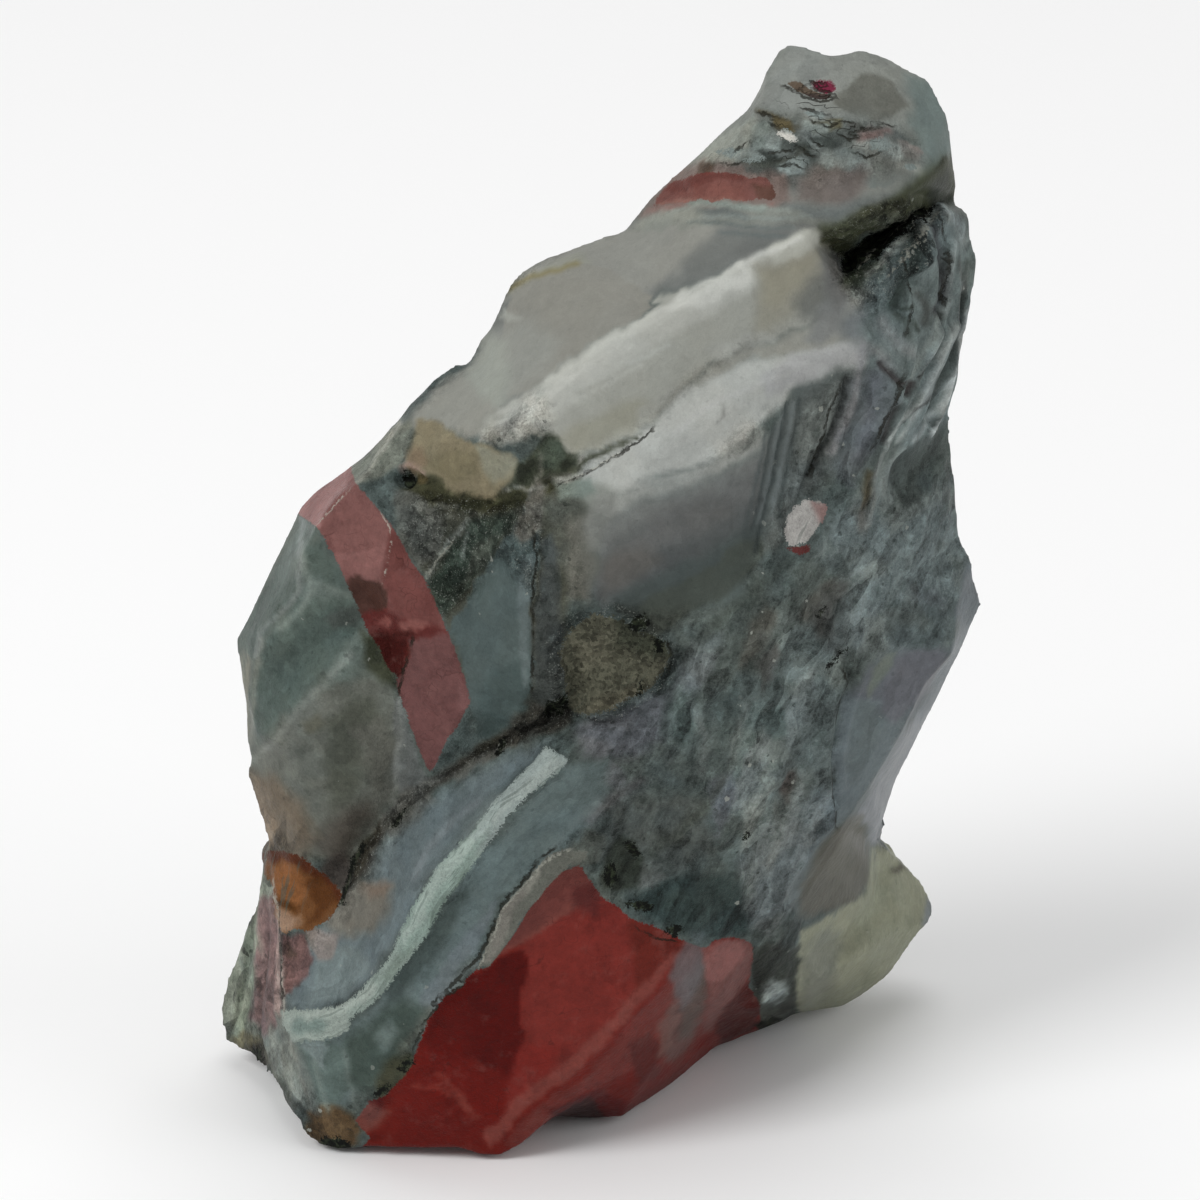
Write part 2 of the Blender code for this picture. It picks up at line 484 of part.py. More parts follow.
def drawn_points(points):
    """Where many places are seen on the drawing, and how squarely."""
    right, up, aim, eye = (np.array(v) for v in sight_axes())
    sight = points - eye
    reach = VIEW_DISTANCE / (sight @ ((aim - eye) / VIEW_DISTANCE))
    offset = sight * reach[:, None] + eye - aim
    return np.stack([offset @ right, offset @ up + AXIS_DRAWN_HEIGHT], axis=1)


def outward(points, mesh):
    """Each vertex's outward direction."""
    mesh.vertices.foreach_set("co", points.ravel())
    mesh.update()
    flat = np.empty(len(points) * 3)
    mesh.vertices.foreach_get("normal", flat)
    return flat.reshape(-1, 3)


def wander(points, cell, seed):
    """Smooth random hills between -1 and 1, one or two cells across."""
    table = np.random.default_rng(seed).uniform(-1, 1, (32, 32, 32))
    spot = points / cell + 7.31
    corner = np.floor(spot).astype(int)
    share = spot - corner
    share = share * share * (3 - 2 * share)
    height = np.zeros(len(points))
    for step in np.ndindex(2, 2, 2):
        weight = np.prod(np.where(step, share, 1 - share), axis=1)
        height += weight * table[tuple(((corner + step) % 32).T)]
    return height


def chips(points, cell, seed):
    """Flat scars at random tilts, one to a cell: the height of each, at most about 1 at its edge."""
    random = np.random.default_rng(seed)
    shift = random.uniform(0, 1, (16, 16, 16, 3))
    tilt = random.normal(0, 1, (16, 16, 16, 3))
    spot = points / cell
    corner = np.floor(spot).astype(int)
    nearest = np.full(len(points), np.inf)
    height = np.zeros(len(points))
    for step in np.ndindex(3, 3, 3):
        home = corner + step - 1
        place_in_table = tuple((home % 16).T)
        offset = spot - home - shift[place_in_table]
        distance = np.linalg.norm(offset, axis=1)
        closer = distance < nearest
        nearest[closer] = distance[closer]
        height[closer] = np.sum(offset * tilt[place_in_table], axis=1)[closer]
    return height


def near(spots, line, width):
    """1 on a drawn line, falling to 0 at about twice its width."""
    return np.exp(-((distance_to(spots, line) / width) ** 2))


def below_ledge(spots, line, width):
    """1 just to the right of a drawn line, falling away over its width and toward the line's ends."""
    ends = np.array(line)
    lengths = np.linalg.norm(np.diff(ends, axis=0), axis=1)
    nearest = np.full(len(spots), np.inf)
    depth = np.zeros(len(spots))
    for a, b, before in zip(ends, ends[1:], np.cumsum(lengths) - lengths):
        along = (b - a) / np.linalg.norm(b - a)
        reach = (spots - a) @ along
        share = np.clip(reach, 0, np.linalg.norm(b - a))
        distance = np.linalg.norm(spots - a - share[:, None] * along, axis=1)
        right = (spots - a) @ np.array((along[1], -along[0]))
        closer = distance < nearest
        nearest[closer] = distance[closer]
        taper = np.sin(np.pi * np.clip((before + share) / lengths.sum(), 0, 1)) ** 0.6
        edge = np.clip(right / 0.5 + 0.5, 0, 1)
        depth[closer] = (edge * taper * np.exp(-distance / width))[closer]
    return depth


def relief(points, normals):
    """How far each vertex stands out of, or is sunk in, the smooth stone."""
    toward = np.array(sight_axes()[3]) - points
    facing = np.sum(normals * toward, axis=1) / np.linalg.norm(toward, axis=1)
    seen = np.clip((facing - 0.02) / 0.2, 0, 1)
    spots = drawn_points(points)
    rough = np.max([near(spots, line, width) * share for line, width, share in ROUGH_BANDS], axis=0) * seen
    rough = np.maximum(rough, (1 - seen) * np.clip(0.25 + 0.6 * wander(points, 18, 6), 0, 0.8))
    height = 0.3 * wander(points, 14, 1) + 0.14 * wander(points, 6, 2)
    height += (0.04 + 0.22 * rough) * chips(points, 4.5, 3) + 0.1 * rough * chips(points, 2.4, 4)
    height += (1 - seen) * (0.8 * wander(points, 22, 5) + 0.3 * chips(points, 13, 7))
    for line, width, depth in LEDGES:
        height -= depth * below_ledge(spots, line, width) * seen
    for x, h, width, depth in PITS:
        height -= depth * np.exp(-(np.hypot(spots[:, 0] - x, spots[:, 1] - h) / width) ** 4) * seen
    above_foot = np.clip(points[:, 2] / 4.0, 0, 1)
    return height * above_foot


def stand_flat(mesh):
    """Cuts the stone level at the ground and closes the cut."""
    solid = bmesh.new()
    solid.from_mesh(mesh)
    everything = solid.verts[:] + solid.edges[:] + solid.faces[:]
    cut = bmesh.ops.bisect_plane(solid, geom=everything, dist=1e-6, plane_co=(0, 0, 0), plane_no=(0, 0, 1),
                                 clear_inner=True)
    rim = [part for part in cut["geom_cut"] if isinstance(part, bmesh.types.BMEdge)]
    bmesh.ops.holes_fill(solid, edges=rim)
    bmesh.ops.triangulate(solid, faces=solid.faces)
    solid.to_mesh(mesh)
    solid.free()


def keep_fewer(stone):
    """Joins the small triangles of the even faces, so that the arrises keep the most."""
    fewer = stone.modifiers.new("fewer triangles", "DECIMATE")
    fewer.ratio = KEPT_TRIANGLES / len(stone.data.polygons)
    evaluated = stone.evaluated_get(bpy.context.evaluated_depsgraph_get())
    kept = bpy.data.meshes.new_from_object(evaluated)
    stone.modifiers.clear()
    stone.data = kept


def stone_material():
    material = bpy.data.materials.new("bloodstone")
    material.use_nodes = True
    surface = material.node_tree.nodes["Principled BSDF"]
    surface.inputs["Base Color"].default_value = (0.10, 0.13, 0.13, 1)
    surface.inputs["Roughness"].default_value = 0.42
    surface.inputs["Metallic"].default_value = 0.0
    return material


def main():
    for obj in list(bpy.data.objects):
        bpy.data.objects.remove(obj)
    cage = build_cage()
    mesh = working_mesh(cage)
    cage.free()
    mesh.name = "bloodstone"
    rim = [place(*p) for p in OUTLINE]
    arrises = [rim + rim[:1]] + [[place(*p) for p in line] for line in FRONT_LINES.values()]
    arrises += [[Vector(p) for p in line] for line in BACK_LINES.values()]
    points = points_of(mesh)
    nearest = np.min([distance_to(points, line) for line in arrises], axis=0)
    points = soften(points, edges_of(mesh), np.clip(nearest / 2.0, 0.04, 1.0), 16)
    normals = outward(points, mesh)
    points += normals * relief(points, normals)[:, None]
    points -= FOOT_MIDDLE
    mesh.vertices.foreach_set("co", (points * MM).ravel())
    mesh.update()
    stand_flat(mesh)
    stone = bpy.data.objects.new("bloodstone", mesh)
    bpy.context.scene.collection.objects.link(stone)
    keep_fewer(stone)
    stone.data.materials.append(stone_material())
    stone.data.name = "bloodstone"


main()
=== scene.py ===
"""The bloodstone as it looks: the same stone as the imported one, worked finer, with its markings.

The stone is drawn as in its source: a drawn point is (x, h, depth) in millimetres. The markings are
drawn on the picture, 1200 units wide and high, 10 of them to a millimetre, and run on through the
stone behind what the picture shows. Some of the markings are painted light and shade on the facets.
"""

import math

import bmesh
import bpy
import numpy as np
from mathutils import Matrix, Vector
from mathutils.bvhtree import BVHTree
from mathutils.geometry import delaunay_2d_cdt


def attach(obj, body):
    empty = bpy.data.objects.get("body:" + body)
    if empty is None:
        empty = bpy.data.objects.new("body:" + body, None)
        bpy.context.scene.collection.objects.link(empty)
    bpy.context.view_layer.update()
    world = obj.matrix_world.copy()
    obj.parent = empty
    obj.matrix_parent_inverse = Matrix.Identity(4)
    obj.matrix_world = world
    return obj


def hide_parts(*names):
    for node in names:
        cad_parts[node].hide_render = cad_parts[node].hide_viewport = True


MM = 0.001

# The picture that the markings are drawn on: units to a millimetre, and where the drawing's origin is.
UNITS = 10
PICTURE_MIDDLE = 600
PICTURE_FOOT = 1157

# How finely the stone is meshed, and the most triangles kept.
MESH_SIZE = 0.42
MOST_TRIANGLES = 197000

# How far behind what shows a vertex still counts as seen, and where thinning starts.
SIGHT_SLACK = 0.4
SEEN_DEPTH = 3
THINNED_DEPTH = 1.5

# Behind what shows, the picture runs on askew and sways: units for each millimetre of depth, and units.
ASKEW = np.array((2.6, -1.6))
SWAY = 40
SWAY_DEPTH = 10

# How far small and tiny noise moves the borders of soft patches and strokes, in units.
SMALL_RAGGED = 4.0
TINY_RAGGED = 2.5
STROKE_RAGGED = 1.5

# Slabs in the unseen stone: how far they sway, and how deep behind what shows they start.
SLAB_SWAY = 2.2
SLAB_DEPTH = 3.5

# The relief fades toward the ground, and toward an arris down to a share of itself.
GROUND_REACH = 4.0
ARRIS_REACH = 2
ARRIS_RELIEF = 0.45

# Tones of the side that the picture doesn't show.
BACK_DARK = np.array((62, 74, 70))
BACK_LIGHT = np.array((112, 122, 118))
BACK_WARM = np.array((112, 104, 90))

# How mottled, gritty and dull the stone is where nothing else is drawn, and far behind the picture.
PLAIN_SURFACE = (95.0, 45.0, 45.0)
BACK_SURFACE = np.array((70, 30, 45))
BACK_ROUGHER = np.array((30, 50, 10))

# Light and camera: name, place, size and power of each lamp; metres and watts.
LAMPS = [
    ("window lamp", (-1.0, -0.8, 1.3), 0.8, 17),
    ("fill lamp", (1.3, -0.5, 0.8), 0.9, 4),
    ("ceiling lamp", (0.1, 0.5, 1.8), 1.2, 9),
]
LAMP_AIM = Vector((0, 0, 0.05))
SKY_STRENGTH = 0.42
FLOOR_REACH = 6
LENS = 180
SENSOR_WIDTH = 36

# The line of sight that the drawing is made on.
DRAWN_HEIGHT = 111.4
VIEW_ELEVATION = math.radians(22.0)
VIEW_DISTANCE = 600.0
AXIS_DRAWN_HEIGHT = DRAWN_HEIGHT / 2
AXIS_HEIGHT = 56.2

# The middle of the flat foot, as a place on the ground.
FOOT_MIDDLE = (-6.0, 9.0, 0.0)

# How far the back's first points lie within the outline, and behind it.
SHOULDER_INSET = 2.4
SHOULDER_DEPTH = 3.0

# The stone's outline on the drawing, clockwise from the crown's left corner.
CROWN_EDGE = [
    (18.7, 111.4, 9), (20.3, 111.0, 9), (23.0, 110.1, 8), (24.8, 110.3, 9), (25.8, 110.7, 10),
    (27.2, 110.4, 10), (29.0, 109.7, 11), (30.5, 108.8, 11), (32.8, 107.8, 11), (34.0, 105.7, 10),
    (34.9, 103.9, 9), (35.1, 101.7, 8), (35.3, 99.7, 8), (35.7, 96.7, 9), (35.5, 95.2, 9),
]
RIBBED_EDGE = [
    (36.6, 94.5, 8), (36.9, 92.2, 7), (37.7, 89.9, 7), (37.6, 88.2, 7), (37.0, 85.2, 7),
    (36.0, 80.7, 7), (35.8, 77.7, 7), (34.9, 74.7, 7), (34.9, 71.7, 6), (35.3, 67.9, 6),
    (35.6, 64.2, 6), (35.9, 62.2, 6), (36.6, 60.5, 6), (37.1, 59.7, 6),
]
RIGHT_FACET_EDGE = [
    (37.4, 57.7, 7), (38.2, 55.4, 8), (37.5, 53.9, 8), (36.7, 52.1, 9), (35.5, 49.5, 11),
    (32.5, 43.7, 14), (31.2, 40.9, 15), (29.5, 37.7, 17), (28.5, 34.5, 18), (27.4, 31.7, 19),
]
LUMP_EDGE = [
    (30.0, 29.7, 25), (32.1, 27.5, 27), (32.9, 26.0, 27), (33.5, 24.8, 26),
    (33.0, 23.7, 25), (31.8, 22.5, 24), (30.5, 20.7, 24), (29.0, 18.5, 23), (28.0, 17.6, 22),
    (26.2, 16.2, 22), (24.2, 15.0, 21), (22.0, 14.7, 20), (19.3, 14.3, 18), (18.0, 13.5, 17),
]
LOWER_EDGE = [
    (14.5, 12.2, 14), (11.5, 11.0, 10), (10.0, 9.7, 8), (7.0, 7.2, 3), (4.0, 5.2, -2),
    (2.2, 3.9, -5), (0.0, 3.9, -4.6), (-2.5, 3.9, -4.8), (-4.4, 4.1, -6), (-6.0, 3.0, -13),
    (-8.0, 1.2, -13), (-10.0, 0.1, -13), (-12.0, 0.2, -13), (-14.2, 0.9, -13),
    (-18.5, 0.9, -12.5), (-23.0, 1.0, -12), (-26.5, 0.7, -11.5), (-28.0, 0.9, -11),
]
LAYERED_EDGE = [
    (-29.5, 2.2, -10), (-30.3, 4.0, -9), (-31.5, 6.2, -6), (-33.0, 8.1, -2), (-34.2, 9.2, 3),
    (-34.9, 10.3, 6), (-36.2, 10.8, 8), (-37.9, 11.9, 10),
    (-38.1, 14.7, 11), (-37.5, 17.7, 11), (-36.5, 20.7, 10), (-35.5, 23.2, 9), (-34.2, 25.7, 7),
    (-33.8, 27.7, 6), (-33.5, 30.2, 5), (-33.0, 31.4, 3),
]
LEFT_EDGE = [
    (-33.8, 34.2, 2), (-35.3, 38.2, 3), (-35.0, 40.0, 3), (-35.3, 42.2, 3),
    (-35.4, 45.7, 4), (-35.9, 48.7, 4), (-36.4, 51.7, 5), (-35.7, 52.9, 5), (-33.5, 57.7, 5),
    (-31.0, 62.7, 5), (-30.0, 64.9, 5), (-28.3, 66.7, 5), (-25.5, 68.6, 5), (-23.5, 70.1, 5),
]
SHOULDER_EDGE = [
    (-20.0, 73.7, 4), (-18.0, 75.9, 4), (-16.0, 78.1, 4), (-14.5, 79.5, 4),
    (-13.1, 79.4, 3), (-12.5, 80.7, 4), (-12.0, 81.8, 4), (-11.1, 82.8, 4), (-10.0, 85.2, 4),
    (-9.5, 86.4, 4), (-8.7, 87.6, 5), (-7.8, 88.5, 5), (-6.0, 89.5, 5), (-3.0, 90.7, 6),
    (-0.5, 91.7, 6), (0.4, 92.1, 6), (2.4, 92.6, 6), (3.3, 93.8, 7), (5.0, 95.9, 7),
    (7.0, 97.7, 8), (10.0, 100.4, 8), (12.5, 102.9, 8), (14.8, 104.7, 8), (16.0, 106.7, 9),
    (16.8, 108.9, 9), (17.9, 110.7, 9),
]
OUTLINE = (
    CROWN_EDGE + RIBBED_EDGE + RIGHT_FACET_EDGE + LUMP_EDGE + LOWER_EDGE + LAYERED_EDGE
    + LEFT_EDGE + SHOULDER_EDGE
)

# Crests, arrises and grooves of the front, each a line of drawn points. Lines that meet share a point.
FRONT_LINES = {
    "shoulder arris": [
        (-16.0, 78.1, 4), (-18.2, 75.5, 1), (-20.8, 71.7, -1), (-23.5, 68.5, -2), (-26.0, 66.2, -3),
        (-28.2, 63.3, -3.5), (-29.7, 60.2, -3.5), (-30.0, 57.2, -4), (-32.5, 54.5, -2.5),
        (-33.8, 52.9, -1.5), (-34.4, 49.7, -1.5), (-35.0, 45.7, -1), (-34.4, 42.7, -1),
        (-35.0, 40.0, 3),
    ],
    "left face crest": [
        (-35.0, 40.0, 3), (-33.0, 41.9, -4), (-30.5, 44.9, -6), (-27.8, 48.2, -7), (-25.5, 50.7, -7),
        (-22.5, 52.7, -6.5),
    ],
    "red scar arris": [
        (-26.0, 66.2, -3), (-23.8, 67.5, -4.5), (-21.0, 64.2, -6.5), (-20.8, 62.2, -7.2),
        (-21.2, 60.2, -7.4), (-22.0, 58.0, -7.2), (-24.8, 57.9, -5.5),
    ],
    "red socket": [
        (-24.8, 57.9, -5.5), (-25.2, 56.0, -5), (-23.8, 54.2, -5.2), (-22.0, 53.9, -6.6),
        (-21.2, 55.7, -8.2), (-22.0, 58.0, -7.2),
    ],
    "red lower facet": [
        (-18.6, 51.7, -9.8), (-20.3, 48.5, -8), (-19.8, 45.7, -8.2), (-18.5, 42.2, -8.6),
        (-16.8, 39.2, -8.6), (-15.3, 41.2, -9.6), (-13.1, 44.9, -11), (-13.6, 48.5, -11.4),
        (-15.5, 52.1, -11), (-18.6, 51.7, -9.8),
    ],
    "blue facet left": [
        (-15.5, 52.1, -11), (-14.8, 53.4, -11), (-12.5, 54.8, -11.2), (-10.0, 59.7, -11.6),
        (-8.0, 64.0, -12),
    ],
    "blue facet right": [
        (-8.0, 64.0, -12), (-6.2, 62.4, -14), (-6.8, 57.7, -14.6), (-7.0, 51.7, -15),
        (-6.7, 47.7, -14.6),
        (-8.5, 43.7, -12.5), (-9.7, 41.6, -9.5),
    ],
    "valley": [
        (-33.0, 31.4, 3), (-30.8, 28.2, -1.5), (-27.5, 27.4, -3), (-25.0, 29.2, -4.2),
        (-23.5, 31.7, -5),
        (-20.0, 35.7, -6.5), (-16.0, 37.5, -7.5), (-13.0, 39.5, -8.5), (-9.7, 41.6, -9.5),
        (-5.5, 44.2, -10.5), (-3.2, 44.6, -11.4),
    ],
    "bench crest": [
        (-31.5, 13.5, -6), (-30.0, 13.4, -8.5), (-27.5, 13.6, -11), (-24.8, 15.2, -13),
        (-21.5, 18.9, -15), (-18.5, 23.7, -16.4), (-15.3, 28.2, -17.4), (-11.0, 33.2, -17.8),
        (-7.0, 37.2, -17.4), (-4.0, 40.0, -16.6), (0.0, 42.2, -15),
    ],
    "bench ledge": [
        (-20.5, 9.2, -14.3), (-18.5, 10.7, -14.8), (-16.8, 14.5, -15.8), (-15.5, 16.7, -16),
        (-12.0, 19.2, -16.2), (-10.8, 23.2, -16.3), (-9.5, 25.4, -16.2), (-6.5, 28.7, -15.8),
        (-3.8, 30.4, -15), (-1.5, 30.7, -14.3),
    ],
    "red top": [
        (-1.5, 30.7, -14.3), (0.5, 27.0, -13.4), (3.0, 24.0, -12.8), (6.0, 22.2, -12), (9.0, 21.2, -11),
    ],
    "red crest": [
        (9.0, 21.2, -11), (6.0, 16.7, -12.6), (2.0, 12.7, -13.6), (-2.0, 9.2, -14.2),
        (-5.5, 5.9, -14.2),
        (-8.5, 3.2, -13.8), (-10.0, 0.1, -13),
    ],
    "underside arris": [
        (2.2, 3.9, -5), (0.5, 6.4, -9.4), (-0.5, 6.7, -10.8), (-2.5, 5.7, -12.4), (-4.5, 4.7, -13.2),
        (-6.0, 3.0, -13),
    ],
    "left corner": [
        (-33.0, 31.4, 3), (-32.5, 28.0, 0.5), (-32.2, 25.7, -1), (-31.8, 20.7, -3), (-31.6, 15.7, -5),
        (-31.5, 13.5, -6), (-30.8, 9.7, -7.5), (-30.1, 5.7, -8.7), (-29.5, 2.2, -10),
    ],
    "right arris": [
        (37.1, 59.7, 6), (35.9, 55.9, 2.6), (35.2, 50.4, 1), (32.5, 47.4, 0), (30.0, 42.2, -1),
        (27.0, 37.2, -2), (24.0, 32.9, -3), (20.0, 27.2, -4), (17.5, 23.2, -4.4), (15.0, 20.7, -4.8),
        (9.0, 21.2, -11),
    ],
    "right facet foot": [
        (27.4, 31.7, 19), (26.7, 28.7, 15), (25.8, 25.2, 11), (22.5, 22.2, 6), (20.0, 20.2, 3),
        (19.3, 16.4, 6), (18.0, 13.5, 17),
    ],
    "lump root": [(27.4, 31.7, 19), (27.9, 28.5, 21), (27.3, 25.0, 18), (23.6, 21.2, 11),
        (20.0, 20.2, 3)],
    "crevice upper lip": [
        (22.0, 92.7, -4.6), (25.0, 93.2, -4.2), (27.5, 94.5, -3.2), (30.0, 95.5, -1.4), (32.5, 97.2, 1),
        (34.5, 99.4, 4), (35.3, 99.7, 8),
    ],
    "crevice floor": [
        (22.0, 92.7, -4.6), (24.2, 89.9, 3.5), (26.0, 91.7, 5), (29.0, 93.2, 6.5), (31.5, 94.5, 7.5),
        (34.0, 95.4, 8.4), (35.5, 95.2, 9),
    ],
    "crevice lower lip": [
        (24.2, 89.9, 3.5), (24.0, 87.5, -3.4), (26.2, 87.2, -3.6), (28.5, 88.7, -3), (30.5, 90.2, -1.8),
        (32.5, 92.2, 0.4), (34.5, 94.2, 3), (36.6, 94.5, 8),
    ],
    "crown foot": [(5.0, 95.9, 7), (10.0, 95.4, 1), (15.0, 95.4, -2.2), (19.0, 94.7, -4.4),
        (22.0, 92.7, -4.6)],
    "crown ledge": [
        (10.0, 100.4, 8), (12.0, 99.6, 3.4), (15.5, 100.2, 0.6), (19.0, 99.2, -1.4), (23.0, 99.0, -2.2),
    ],
    "crown left arris": [(16.8, 108.9, 9), (16.6, 106.4, 5.4), (14.6, 103.0, 4.4), (12.0, 99.6, 3.4)],
    "crown right arris": [(32.8, 107.8, 11), (30.6, 104.6, 4.4), (30.4, 101.0, 1.6),
        (31.5, 98.4, 0.4), (32.5, 97.2, 1)],
    "dark wedge": [(30.0, 95.5, -1.4), (31.5, 98.4, 0.4), (33.2, 99.8, 2.2), (34.9, 103.9, 9)],
    "left lower arris": [(-19.8, 45.7, -8.2), (-20.4, 41.5, -7.6), (-20.6, 38.0, -6.9),
        (-20.0, 35.7, -6.5)],
    "shoulder crest": [(-8.7, 87.6, 5), (-5.5, 88.7, 2.4), (-2.3, 89.5, 1.4), (2.0, 88.2, -1.4),
        (5.5, 85.7, -5)],
    "white crest": [
        (22.0, 92.7, -4.6), (20.5, 91.9, -6.6), (16.0, 89.6, -8), (10.0, 86.4, -9.4),
        (4.0, 82.8, -10.5),
        (-1.0, 79.2, -11), (-6.0, 75.2, -11.2), (-9.5, 72.7, -10.6), (-14.0, 69.5, -8.4),
    ],
    "white trough": [
        (24.0, 87.5, -3.4), (20.0, 82.7, -6.4), (12.0, 79.2, -9), (5.0, 73.2, -11.6),
        (-2.0, 69.2, -12.2),
        (-6.0, 67.5, -11.6),
    ],
    "second crest": [
        (27.5, 81.7, -4.6), (18.0, 78.4, -9.4), (12.0, 74.9, -11.6), (6.0, 70.7, -13.2),
        (1.0, 65.7, -14.2),
        (-2.0, 59.7, -14.8), (-2.5, 54.0, -14.4),
    ],
}

# Lone points that round out the faces between those lines.
FRONT_POINTS = [
    # Crown
    (20.0, 102.7, 1.4), (20.0, 107.0, 4.2), (25.0, 104.7, 2.6), (28.5, 100.7, 0.4), (9.0, 97.6, 3.6),
    (24.0, 97.0, -3), (17.0, 97.4, -1.2), (29.4, 107.6, 7.6), (33.0, 102.4, 4.6), (14.6, 101.6, 3.6),
    # Shoulder and white bands
    (9.5, 91.5, -3.4), (16.0, 92.2, -5), (0.0, 85.2, -4.6), (-5.0, 84.2, -2.6), (-7.5, 79.2, -5.4),
    (-13.0, 76.2, -3), (-16.0, 72.2, -4.6), (8.0, 81.2, -10.4), (15.0, 84.0, -8.4), (1.0, 75.2, -11.8),
    # Broad face
    (10.0, 65.7, -13), (5.0, 58.2, -14), (16.0, 70.7, -10.4), (18.0, 60.7, -10.2), (12.0, 50.7, -12.6),
    (25.0, 65.7, -6), (30.0, 72.7, -2), (33.0, 66.0, 1.6), (30.0, 55.7, -2.4), (25.0, 50.7, -6),
    (20.0, 40.7, -8), (14.0, 35.7, -10.4), (8.0, 39.7, -12.8), (4.0, 35.7, -12.6), (10.0, 27.7, -10.2),
    (16.0, 28.7, -7.6), (30.5, 84.7, -1), (33.5, 80.0, 2), (31.0, 88.0, -0.4), (33.4, 88.5, 2),
    (0.5, 49.5, -13.2), (-3.0, 49.7, -12.6),
    # Red band and the face left of it
    (-22.5, 62.2, -5.6), (-23.0, 56.0, -5.2), (-21.0, 50.7, -6), (-17.0, 46.5, -9.9),
    (-18.0, 57.0, -9.4),
    (-31.0, 49.7, -3.4), (-30.0, 39.7, -5), (-25.0, 43.7, -7.2), (-23.0, 39.0, -7.4), (-26.0, 32.7, -6),
    (-30.0, 32.7, -3.6), (-32.5, 35.7, -1.4), (-27.0, 55.7, -5), (-26.8, 61.0, -4),
    # Hollow right of the red band
    (-16.0, 59.7, -7.2), (-13.0, 62.7, -8), (-12.0, 57.2, -8.8), (-15.0, 65.7, -7), (-10.0, 66.4, -9.6),
    (-10.5, 47.0, -12.8),
    # Below the valley
    (-25.0, 24.7, -6.6), (-20.0, 30.7, -10), (-15.0, 34.0, -12), (-9.0, 39.4, -12.6),
    (-29.0, 21.0, -5.4),
    (-27.5, 17.7, -8.2), (-22.0, 12.0, -14), (-27.0, 7.7, -11.6), (-13.0, 24.0, -17),
    (-7.0, 32.4, -16.8),
    # Red face
    (-4.0, 22.7, -14.6), (-11.0, 12.7, -15.4), (-17.0, 5.7, -14.4), (-23.0, 5.0, -12.8),
    (-3.0, 15.7, -14.8),
    # Right of the red crest
    (12.0, 16.2, -6), (9.0, 13.2, -3.5), (5.0, 9.0, -7), (1.5, 9.0, -11.4), (14.0, 15.0, 2),
    (2.8, 5.6, -6.4),
    # Right facet and lump
    (31.4, 45.0, 5), (27.6, 34.4, 6), (23.5, 28.0, 3), (36.4, 53.0, 5),
    (29.4, 26.5, 21), (30.0, 23.0, 20), (26.0, 20.5, 13), (22.4, 18.2, 9),
    # Layered side
    (-34.5, 19.7, 4), (-33.8, 14.7, 2), (-35.5, 15.7, 6.4), (-33.8, 11.7, 1), (-32.0, 8.0, -4),
    (-33.4, 24.0, 3),
]

# Crests of the back, each a line of places.
BACK_LINES = {
    "spine": [
        (24.0, 15.0, 102.0), (22.0, 18.5, 86.0), (14.0, 22.5, 68.0), (6.0, 25.0, 49.0),
        (3.0, 27.5, 30.0),
        (7.0, 27.5, 12.0), (6.0, 25.0, -0.5),
    ],
    "left crest": [
        (14.0, 22.5, 68.0), (-3.0, 20.0, 76.0), (-13.0, 18.0, 62.0), (-22.0, 18.0, 45.0),
        (-24.0, 20.0, 28.0),
        (-22.0, 21.0, 10.0), (-20.0, 19.0, -0.5),
    ],
    "cross crest": [(-24.0, 20.0, 28.0), (-10.0, 21.5, 31.0), (3.0, 27.5, 30.0)],
    "right crest": [(22.0, 18.5, 86.0), (31.0, 17.5, 72.0), (31.0, 19.5, 56.0), (24.0, 23.0, 41.0),
        (6.0, 25.0, 49.0)],
    "lump crest": [(24.0, 23.0, 41.0), (25.0, 28.5, 25.0), (22.0, 30.5, 13.0), (18.0, 28.0, -0.5)],
}
BACK_POINTS = [
    (31.0, 15.5, 95.0), (15.0, 13.5, 94.0), (5.0, 14.5, 86.0), (-8.0, 12.0, 78.0), (32.5, 15.0, 84.0),
    (-27.0, 13.0, 58.0), (-5.0, 17.5, 52.0), (-31.0, 14.0, 36.0), (-33.0, 15.5, 22.0),
    (-31.0, 15.5, 8.0),
    (14.0, 19.0, 30.0), (16.0, 20.5, 56.0), (-8.0, 19.0, 14.0), (33.5, 14.5, 62.0), (14.0, 26.0, 20.0),
    (28.5, 28.0, 17.0), (20.0, 15.0, 76.0),
]
FOOT = [
    (-26.5, -5.5, -0.5), (-15.0, -7.5, -0.5), (-11.0, -8.8, -0.5), (-8.0, -5.5, -0.5),
    (-5.0, 2.0, -0.5),
    (-1.0, 5.5, -0.5), (3.0, 4.5, -0.5), (8.0, 10.0, -0.5), (14.5, 18.5, -0.5), (20.0, 24.0, -0.5),
    (18.0, 28.0, -0.5), (6.0, 25.0, -0.5), (-7.0, 20.5, -0.5), (-20.0, 19.0, -0.5), (-30.0, 12.0, -0.5),
    (-31.5, 3.0, -0.5),
]

